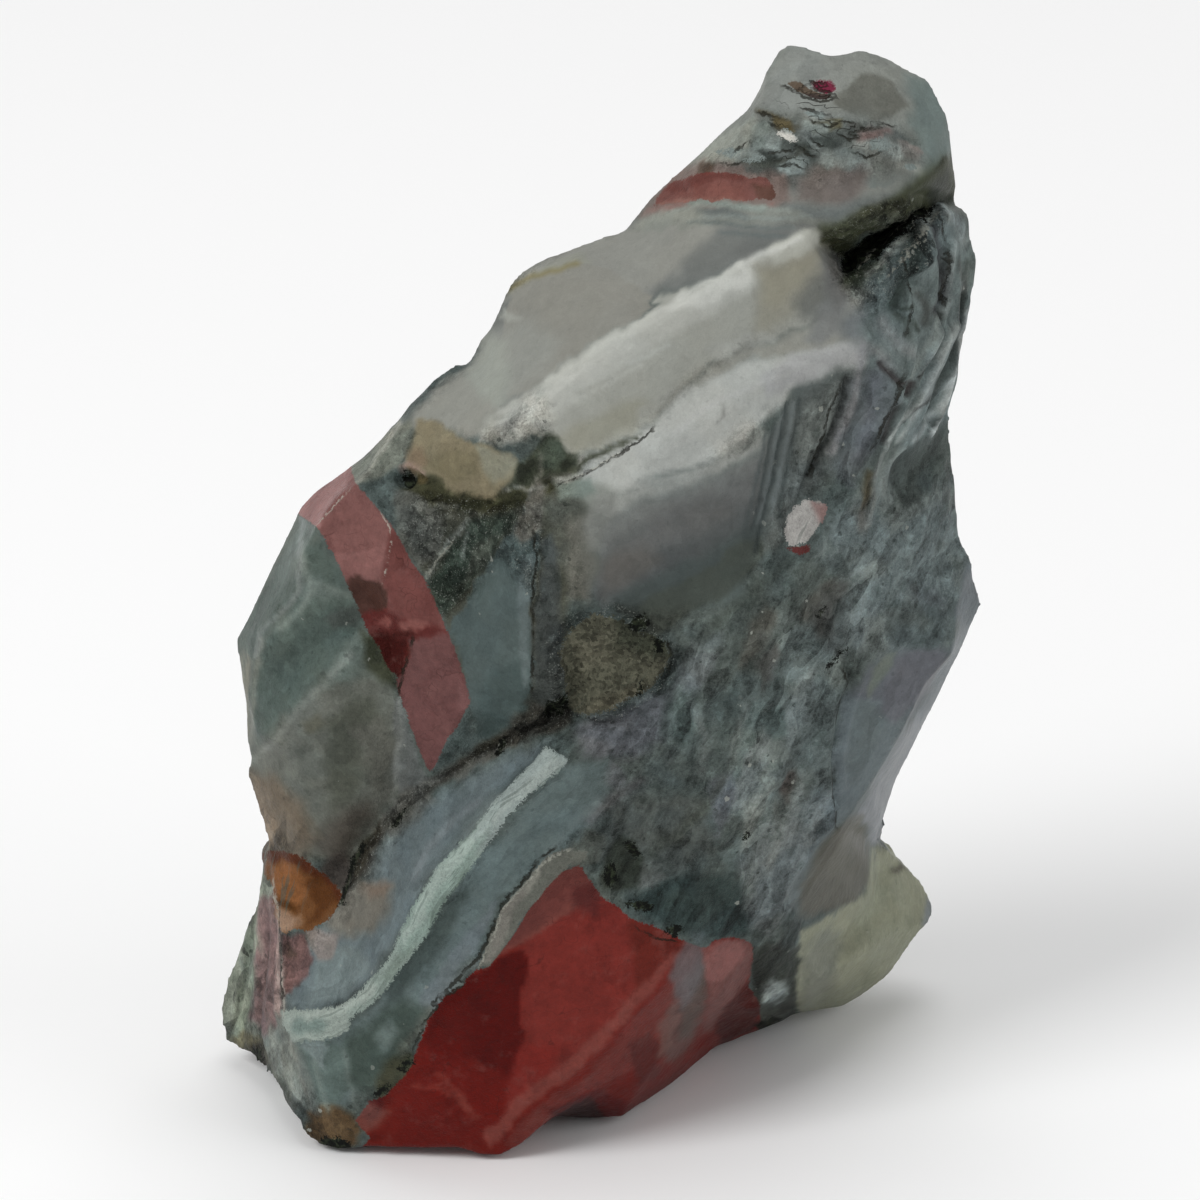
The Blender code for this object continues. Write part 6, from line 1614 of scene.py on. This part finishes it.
class Nodes:
    """Short ways to add and join the nodes of one material."""

    def __init__(self, material):
        material.use_nodes = True
        self.tree = material.node_tree
        self.surface = self.tree.nodes["Principled BSDF"]

    def join(self, source, socket):
        """Links a socket to a source, or sets it to a plain value."""
        if isinstance(source, (int, float, tuple)):
            socket.default_value = source
        else:
            self.tree.links.new(source, socket)

    def node(self, kind, output, **inputs):
        """A node with its inputs joined by name, and one of its outputs."""
        node = self.tree.nodes.new("ShaderNode" + kind)
        for name, source in inputs.items():
            self.join(source, node.inputs[name.replace("_", " ")])
        return node.outputs[output]

    def math(self, operation, *inputs):
        """One step of arithmetic."""
        node = self.tree.nodes.new("ShaderNodeMath")
        node.operation = operation
        for source, socket in zip(inputs, node.inputs):
            self.join(source, socket)
        return node.outputs[0]

    def times(self, first, *rest):
        """The product of several values."""
        for other in rest:
            first = self.math("MULTIPLY", first, other)
        return first

    def total(self, first, *rest):
        """The sum of several values."""
        for other in rest:
            first = self.math("ADD", first, other)
        return first

    def swing(self, value, amount):
        """A value about one half as one about nothing, stretched."""
        return self.math("MULTIPLY_ADD", value, amount, -amount / 2)

    def kept(self, name):
        """The three numbers kept with the vertices under a name."""
        node = self.tree.nodes.new("ShaderNodeAttribute")
        node.attribute_name = name
        return node.outputs["Vector"]

    def split(self, vector):
        """The three parts of a vector."""
        return self.node("SeparateXYZ", 0, Vector=vector).node.outputs

    def combine(self, x, y, z):
        """A vector of three parts."""
        return self.node("CombineXYZ", 0, X=x, Y=y, Z=z)

    def noise(self, place, scale, detail=6.0, roughness=0.6, output="Fac"):
        """A cloudy pattern between 0 and 1, with scale clouds to a unit of place."""
        return self.node("TexNoise", output, Vector=place, Scale=scale, Detail=detail, Roughness=roughness)

    def cells(self, place, scale):
        """Distance to the middle of the nearest cell, and two random numbers of that cell."""
        gap = self.node("TexVoronoi", "Distance", Vector=place, Scale=scale)
        numbers = self.split(gap.node.outputs["Color"])
        return gap, numbers[0], numbers[1]

    def ramp(self, value, low, high, start=0.0, end=1.0):
        """start below low, end above high, and smooth between them."""
        out = self.node("MapRange", 0, Value=value, From_Min=low, From_Max=high, To_Min=start, To_Max=end)
        out.node.interpolation_type = "SMOOTHSTEP"
        return out

    def tinted(self, colour, amount):
        """The colour times an amount."""
        node = self.tree.nodes.new("ShaderNodeVectorMath")
        node.operation = "SCALE"
        self.join(colour, node.inputs[0])
        self.join(amount, node.inputs["Scale"])
        return node.outputs[0]

    def warp(self, place, scale, amount):
        """The place, moved about by a noise."""
        node = self.tree.nodes.new("ShaderNodeVectorMath")
        node.operation = "MULTIPLY_ADD"
        self.join(self.noise(place, scale, 1.0, 0.6, "Color"), node.inputs[0])
        self.join((amount, amount, amount), node.inputs[1])
        self.join(place, node.inputs[2])
        return node.outputs[0]

    def blend(self, share, first, second, kind="MIX"):
        """The first colour, with a share of the second mixed in."""
        node = self.tree.nodes.new("ShaderNodeMix")
        node.data_type = "RGBA"
        node.blend_type = kind
        self.join(share, node.inputs["Factor"])
        self.join(first, node.inputs[6])
        self.join(second, node.inputs[7])
        return node.outputs[2]

    def dyed(self, share, colour, dye):
        """The colour, with a share of it multiplied by a dye."""
        return self.blend(share, colour, self.blend(1.0, colour, dye, "MULTIPLY"))


def line_mask(n, name, waver):
    """1 on the thin lines kept under a name."""
    across, past, width = n.split(n.kept(name))
    gap = n.math("ABSOLUTE", n.total(across, waver))
    held = n.ramp(past, 0.0, 1.0, 1.0, 0.0)
    return n.times(n.ramp(n.math("SUBTRACT", gap, n.times(width, held)), 0.0, 0.12, 1.0, 0.0), held)


class Grain:
    """The patterns that all parts of the stone share."""

    def __init__(self, n):
        where = n.tree.nodes.new("ShaderNodeTexCoord").outputs["Object"]
        self.spot = n.tinted(where, 1000.0)
        self.mottle, self.grit, self.dull = n.split(n.kept("surface"))
        self.across, self.along, self.follow = n.split(n.kept("grain"))
        self.cloud = n.noise(self.spot, 0.45, 4.0, 0.65)
        self.fine = n.noise(self.spot, 1.5, 4.0, 0.65)
        self.tiny = n.noise(self.spot, 6.0, 2.0, 0.6)
        self.streak = n.noise(self.stretched(n, 0.8, 0.25, 0.0), 1.0, 5.0, 0.68)
        self.hair = n.noise(self.stretched(n, 2.2, 0.16, 3.0), 1.0, 3.0, 0.6)
        self.crumb = n.cells(n.warp(self.spot, 1.3, 0.9), 1.0)
        self.splinter = n.cells(n.warp(self.stretched(n, 0.75, 0.22, 1.0), 1.2, 0.5), 1.0)[1]
        self.calm = n.ramp(self.mottle, 0.35, 0.85, 0.04, 1.0)
        self.sand = n.cells(n.warp(self.spot, 3.0, 0.3), 2.8)
        self.coarse = n.ramp(self.grit, 0.62, 0.92)

    def stretched(self, n, across, along, level):
        """Places drawn out along the grain."""
        return n.combine(n.times(self.across, across), n.times(self.along, along), level)


def ground_colour(n, g):
    """Mottled, streaked along the grain, with patches, crumbs, specks and painted glints."""
    plain = n.total(n.swing(g.cloud, 0.9), n.swing(g.fine, 1.2), n.swing(g.tiny, 0.7))
    streaks = n.total(n.swing(g.streak, 1.5), n.swing(g.hair, 0.7), n.ramp(g.streak, 0.47, 0.53, -0.10, 0.10))
    lump = n.cells(n.warp(g.spot, 0.7, 2.4), 0.42)[1]
    change = n.total(n.times(plain, g.mottle), n.times(streaks, g.follow, g.calm),
                     n.times(n.swing(g.splinter, 0.85), g.follow, g.mottle),
                     n.times(n.swing(g.crumb[1], 0.3), g.mottle, g.calm),
                     n.times(n.swing(lump, 0.5), n.ramp(g.follow, 0.0, 1.0, 1.0, 0.4), g.mottle))
    ground = n.tinted(n.kept("ground"), n.math("MAXIMUM", n.total(change, 1.0), 0.3))
    hue = n.times(n.ramp(n.noise(g.spot, 0.16, 2.0), 0.4, 0.6), g.mottle, 0.4)
    ground = n.dyed(hue, ground, WARM_HUE)
    blotch = n.noise(g.spot, 0.7, 4.0, 0.6)
    ground = n.dyed(n.times(n.ramp(blotch, 0.56, 0.60), g.mottle, 0.45), ground, DARK_BLOTCH)
    ground = n.dyed(n.times(n.ramp(blotch, 0.43, 0.39), g.mottle, 0.45), ground, PALE_BLOTCH)
    crumbs = n.tinted(ground, n.total(n.ramp(g.crumb[1], 0.0, 1.0, 0.75, 1.25), n.swing(g.fine, 0.8),
                                      n.ramp(g.crumb[0], 0.5, 0.8, 0.0, -0.15)))
    ground = n.blend(n.times(g.coarse, 0.85), ground, crumbs)
    # Painted glints of tiny facets on the gritty parts.
    glint = n.times(n.ramp(g.tiny, 0.58, 0.66), n.ramp(g.fine, 0.5, 0.6), g.coarse)
    ground = n.blend(n.times(glint, 0.5), ground, PAINTED_GLINT)
    dot_gap, dot_chance, dot_size = n.cells(n.warp(g.spot, 2.5, 0.5), 0.9)
    dot = n.ramp(n.math("SUBTRACT", dot_gap, n.times(dot_size, 0.2)), 0.0, 0.05, 1.0, 0.0)
    ground = n.blend(n.times(dot, n.ramp(dot_chance, 0.55, 0.57), g.mottle, 0.55), ground, DARK_SPECK)
    light = n.times(dot, n.ramp(dot_chance, 0.06, 0.05), g.mottle)
    return n.blend(n.times(light, 0.7), ground, PALE_FLECK)


def red_colour(n, g):
    """The red, with milky clouds, dark spots and hairlines."""
    change = n.total(n.swing(g.cloud, 0.8), n.swing(g.fine, 0.55), n.swing(g.tiny, 0.2), 1.0)
    red = n.tinted(n.kept("red"), change)
    milky = n.times(n.ramp(n.noise(g.spot, 0.3, 4.0, 0.7), 0.52, 0.7), n.ramp(g.mottle, 0.3, 0.6, 0.06, 0.2))
    red = n.blend(milky, red, MILKY_RED)
    dark = n.ramp(n.noise(g.spot, 0.33, 4.0, 0.7), 0.57, 0.62)
    red = n.dyed(n.times(dark, 0.3), red, DARK_RED_DYE)
    web = n.node("TexVoronoi", "Distance", Vector=n.warp(g.spot, 0.5, 5.0), Scale=0.16)
    web.node.feature = "DISTANCE_TO_EDGE"
    hairline = n.times(n.ramp(web, 0.0, 0.014, 1.0, 0.0), n.ramp(g.cloud, 0.42, 0.6, 0.0, 0.4))
    return n.blend(hairline, red, RED_HAIRLINE)


def pale_colour(n, g):
    """The vein, drawn out along the grain, and the stony patches, which are gritty."""
    streaks = n.total(n.swing(g.streak, 1.0), n.swing(g.hair, 0.8))
    change = n.total(n.swing(g.fine, 0.8), n.swing(g.tiny, 0.5), n.times(streaks, g.follow), 1.0)
    pale = n.tinted(n.kept("pale"), change)
    sandy = n.tinted(pale, n.total(n.ramp(g.sand[1], 0.0, 1.0, 0.6, 1.35),
                                   n.ramp(g.crumb[1], 0.0, 1.0, -0.2, 0.2)))
    pale = n.blend(g.coarse, pale, sandy)
    scratch = n.times(n.ramp(g.hair, 0.56, 0.62), g.follow, 0.6)
    return n.blend(scratch, pale, VEIN_SCRATCH)


def stone_look():
    """Grey-green ground with its grain, red and pale parts with clear borders, cracks, specks and painted
    glints, with a painted shadow in the crevice and painted highlight on light edges.
    """
    material = bpy.data.materials.new("bloodstone look")
    n = Nodes(material)
    g = Grain(n)
    red_gap, pale_gap, dark_gap = n.split(n.kept("edges"))
    ragged = n.total(n.swing(g.fine, 0.6), n.swing(g.tiny, 0.35))
    red_mask = n.ramp(n.total(red_gap, ragged), -0.08, 0.08, 1.0, 0.0)
    torn = n.times(ragged, n.ramp(g.grit, 0.2, 0.7, 0.7, 2.4))
    pale_mask = n.ramp(n.total(pale_gap, torn), -0.06, 0.06, 1.0, 0.0)
    dark_mask = n.ramp(n.total(dark_gap, n.times(ragged, 2.2)), -0.1, 0.1, 1.0, 0.0)
    waver = n.total(n.swing(g.fine, 0.9), n.swing(g.cloud, 0.5))
    crack_and_shadow = n.times(line_mask(n, "crack_and_shadow", waver), n.ramp(g.cloud, 0.36, 0.55, 0.1, 0.85))
    seam = n.times(line_mask(n, "seam", waver), n.ramp(g.fine, 0.42, 0.56, 0.0, 0.6))
    colour = n.blend(red_mask, ground_colour(n, g), red_colour(n, g))
    colour = n.blend(pale_mask, colour, pale_colour(n, g))
    # Near-black with dark green; in the crevice this is painted shadow.
    dark = n.blend(n.ramp(g.fine, 0.45, 0.62), NEAR_BLACK, DARK_GREEN)
    colour = n.blend(dark_mask, colour, dark)
    # Light edge lines, partly painted highlight on arrises.
    colour = n.blend(seam, colour, SEAM_COLOUR)
    # Dark crack lines, one of them a painted shadow line.
    colour = n.blend(crack_and_shadow, colour, CRACK_AND_SHADOW_COLOUR)
    n.join(colour, n.surface.inputs["Base Color"])
    n.join(n.total(g.dull, n.swing(g.fine, 0.3), n.times(dark_mask, 0.2)), n.surface.inputs["Roughness"])
    n.surface.inputs["Specular IOR Level"].default_value = 0.1

    flaky = n.times(g.streak, g.follow, g.calm, n.ramp(g.grit, 0.1, 0.5, 0.1, 0.40))
    uneven = n.times(n.swing(g.fine, 1.0), n.total(n.times(g.grit, 0.7), 0.05))
    height = n.total(uneven, n.times(g.tiny, g.grit, 0.16), flaky, n.times(g.tiny, g.coarse, 0.25),
                     n.times(crack_and_shadow, -0.2))
    bump = n.node("Bump", 0, Strength=1.0, Distance=MM, Height=height)
    n.join(bump, n.surface.inputs["Normal"])
    return material


def even_mesh(cage, size):
    """The cage as one evenly meshed closed surface."""
    mesh = bpy.data.meshes.new("cage")
    cage.to_mesh(mesh)
    rough = bpy.data.objects.new("cage", mesh)
    bpy.context.scene.collection.objects.link(rough)
    remesh = rough.modifiers.new("even mesh", "REMESH")
    remesh.mode = "VOXEL"
    remesh.voxel_size = size
    return applied(rough)


def applied(obj):
    """The mesh that an object's modifiers make; the object goes."""
    evaluated = obj.evaluated_get(bpy.context.evaluated_depsgraph_get())
    mesh = bpy.data.meshes.new_from_object(evaluated)
    bpy.data.objects.remove(obj)
    return mesh


def thin_out(mesh, points, hidden, share):
    """Joins triangles where the drawing doesn't show them, until a share of all is left."""
    mesh.vertices.foreach_set("co", points.ravel())
    obj = bpy.data.objects.new("stone", mesh)
    bpy.context.scene.collection.objects.link(obj)
    group = obj.vertex_groups.new(name="hidden")
    group.add([int(i) for i in np.flatnonzero(hidden)], 1.0, "REPLACE")
    fewer = obj.modifiers.new("fewer triangles", "DECIMATE")
    fewer.ratio = share
    fewer.vertex_group = "hidden"
    fewer.vertex_group_factor = 1000
    return applied(obj)


def scallops(points, cell, seed):
    """Shallow bowls that meet in sharp ridges: 0 in a bowl's middle and about 1 on a ridge."""
    random = np.random.default_rng(seed)
    shift = random.uniform(0, 1, (16, 16, 16, 3))
    spot = points / cell
    corner = np.floor(spot).astype(int)
    nearest = np.full(len(points), np.inf)
    for step in np.ndindex(3, 3, 3):
        home = corner + step - 1
        offset = spot - home - shift[tuple((home % 16).T)]
        nearest = np.minimum(nearest, np.einsum("ij,ij->i", offset, offset))
    return nearest * 1.6


def relief(points, normals, spots, grain, surface, depth, nearest):
    """How far each vertex stands out of, or is sunk in, the smooth stone, in millimetres."""
    seen = smooth(1 - depth / SEEN_DEPTH)
    grit = surface[:, 1]
    hidden_grit = 0.25 + 0.6 * wander(points, 18, 6)
    grit = seen * grit + (1 - seen) * np.clip(hidden_grit, 0.1, 0.8)
    bent = points + 0.8 * wanders(points, 5, 51, 52, 53)
    height = 0.3 * wander(points, 14, 1) + 0.14 * wander(points, 6, 2)
    height += (0.08 + 0.40 * grit) * scallops(bent, 7.0, 3)
    height += (0.02 + 0.45 * grit ** 1.5) * scallops(bent, 3.0, 4)
    height += 0.24 * grit ** 2 * scallops(bent, 1.4, 5)
    height += (1 - seen) * (0.8 * wander(points, 22, 5) + 0.5 * scallops(bent, 16, 7))
    across, along, follow = grain.T
    follow = follow * np.clip(surface[:, 0] / 0.5 - 0.6, 0.1, 1) * (0.25 + 0.75 * seen)
    ribs, fine_ribs, splinters = (
        np.stack([across / wide, along / tall, np.zeros(len(points))], axis=1)
        for wide, tall in ((1.1, 9.0), (0.55, 5.0), (2.6, 9.0))
    )
    height += follow * (0.24 * wander(ribs, 1, 8) + 0.10 * wander(fine_ribs, 1, 9))
    height += follow * grit * 0.55 * scallops(splinters, 1.0, 10)
    toward = np.array(sight_axes()[3]) - points
    facing = np.sum(normals * toward, axis=1) / np.linalg.norm(toward, axis=1)
    shown = seen * np.clip(facing * 2.5, 0.12, 1)
    for width, rise, text in RIDGES:
        line = px(text)
        picked = around(spots, line, 40)
        gap = along_line(spots[picked], line)[0] / UNITS
        height[picked] += rise * np.exp(-((gap / width) ** 2)) * shown[picked]
    drawing = drawn_points(points)
    for line, width, drop in LEDGES:
        height -= drop * below_ledge(drawing, line, width) * seen
    for x, h, width, drop in PITS:
        height -= drop * np.exp(-(np.hypot(drawing[:, 0] - x, drawing[:, 1] - h) / width) ** 4) * seen
    by_ground = np.clip(points[:, 2] / GROUND_REACH, 0, 1)
    return height * by_ground * np.clip(nearest / ARRIS_REACH, ARRIS_RELIEF, 1)



def make_stone():
    """The stone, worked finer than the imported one, with its markings."""
    cage = build_cage()
    mesh = even_mesh(cage, MESH_SIZE)
    cage.free()
    points = points_of(mesh)
    edges = edges_of(mesh)
    rim = [place(*p) for p in OUTLINE]
    arrises = [rim + rim[:1]] + [[place(*p) for p in line] for line in FRONT_LINES.values()]
    arrises += [[Vector(p) for p in line] for line in BACK_LINES.values()]
    nearest = np.min([distance_to(points, line) for line in arrises], axis=0)
    points = soften(points, edges, np.ones(len(points)), 1)
    points = soften(points, edges, np.clip(nearest / 2.5 - 0.2, 0.0, 1.0), 6)
    depth = behind(points, mesh)
    share = MOST_TRIANGLES / (2 * len(mesh.polygons))
    if share < 1:
        mesh = thin_out(mesh, points, depth > THINNED_DEPTH, share)
        points = points_of(mesh)
        depth = behind(points, mesh)
        nearest = np.min([distance_to(points, line) for line in arrises], axis=0)
    spots = picture_spots(points, depth)
    bent = spots + SMALL_RAGGED * wanders(points, 2.2, 23, 24)
    grain = grain_along(bent, GUIDES)
    surface = surface_of(bent, points, depth)
    store(mesh, "grain", grain)
    store(mesh, "surface", surface)
    mark(mesh, points, spots, depth)
    normals = outward(points, mesh)
    points += normals * relief(points, normals, spots, grain, surface, depth, nearest)[:, None]
    points -= FOOT_MIDDLE
    mesh.vertices.foreach_set("co", (points * MM).ravel())
    mesh.update()
    stand_flat(mesh)
    stone = bpy.data.objects.new("stone", mesh)
    bpy.context.scene.collection.objects.link(stone)
    for face in mesh.polygons:
        face.use_smooth = True
    mesh.materials.append(stone_look())
    print("stone:", len(mesh.polygons), "triangles")
    return stone


def make_floor():
    """A wide pale floor."""
    mesh = bpy.data.meshes.new("floor")
    corners = [(x * FLOOR_REACH, y * FLOOR_REACH, 0) for x, y in ((-1, -1), (1, -1), (1, 1), (-1, 1))]
    mesh.from_pydata(corners, [], [(0, 1, 2, 3)])
    floor = bpy.data.objects.new("floor", mesh)
    bpy.context.scene.collection.objects.link(floor)
    material = bpy.data.materials.new("pale floor")
    n = Nodes(material)
    where = n.tree.nodes.new("ShaderNodeTexCoord").outputs["Object"]
    tone = n.blend(n.noise(where, 3.0, 1.0), CLEAN_FLOOR, CLEANER_FLOOR)
    n.join(tone, n.surface.inputs["Base Color"])
    n.surface.inputs["Roughness"].default_value = 0.9
    n.surface.inputs["Specular IOR Level"].default_value = 0.0
    mesh.materials.append(material)


def make_lamp(name, spot, size, power):
    """A square soft lamp aimed at the stone's middle."""
    data = bpy.data.lights.new(name, "AREA")
    data.size = size
    data.energy = power
    lamp = bpy.data.objects.new(name, data)
    bpy.context.scene.collection.objects.link(lamp)
    lamp.location = spot
    lamp.rotation_euler = (LAMP_AIM - Vector(spot)).to_track_quat("-Z", "Y").to_euler()


def make_light():
    """An even white sky, three soft lamps and plain tones."""
    world = bpy.data.worlds.new("soft light")
    bpy.context.scene.world = world
    world.use_nodes = True
    sky = world.node_tree.nodes["Background"].inputs
    sky["Color"].default_value = (1, 1, 1, 1)
    sky["Strength"].default_value = SKY_STRENGTH
    for lamp in LAMPS:
        make_lamp(*lamp)
    bpy.context.scene.view_settings.view_transform = "Standard"


def make_camera():
    """The camera stands where the drawing's eye is."""
    data = bpy.data.cameras.new("camera")
    data.lens = LENS
    data.sensor_width = SENSOR_WIDTH
    data.clip_start = 0.01
    camera = bpy.data.objects.new("camera", data)
    bpy.context.scene.collection.objects.link(camera)
    _, _, aim, eye = sight_axes()
    camera.location = (eye - Vector(FOOT_MIDDLE)) * MM
    camera.rotation_euler = (aim - eye).to_track_quat("-Z", "Y").to_euler()
    bpy.context.scene.camera = camera


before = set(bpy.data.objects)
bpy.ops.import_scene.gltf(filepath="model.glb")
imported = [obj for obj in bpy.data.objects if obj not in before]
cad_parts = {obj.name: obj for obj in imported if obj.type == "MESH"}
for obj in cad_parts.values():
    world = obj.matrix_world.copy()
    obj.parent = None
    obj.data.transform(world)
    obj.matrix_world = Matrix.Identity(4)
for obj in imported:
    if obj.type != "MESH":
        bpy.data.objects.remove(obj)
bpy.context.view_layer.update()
make_camera()
make_light()
make_floor()
stone = make_stone()
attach(stone, "root")
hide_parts("bloodstone")
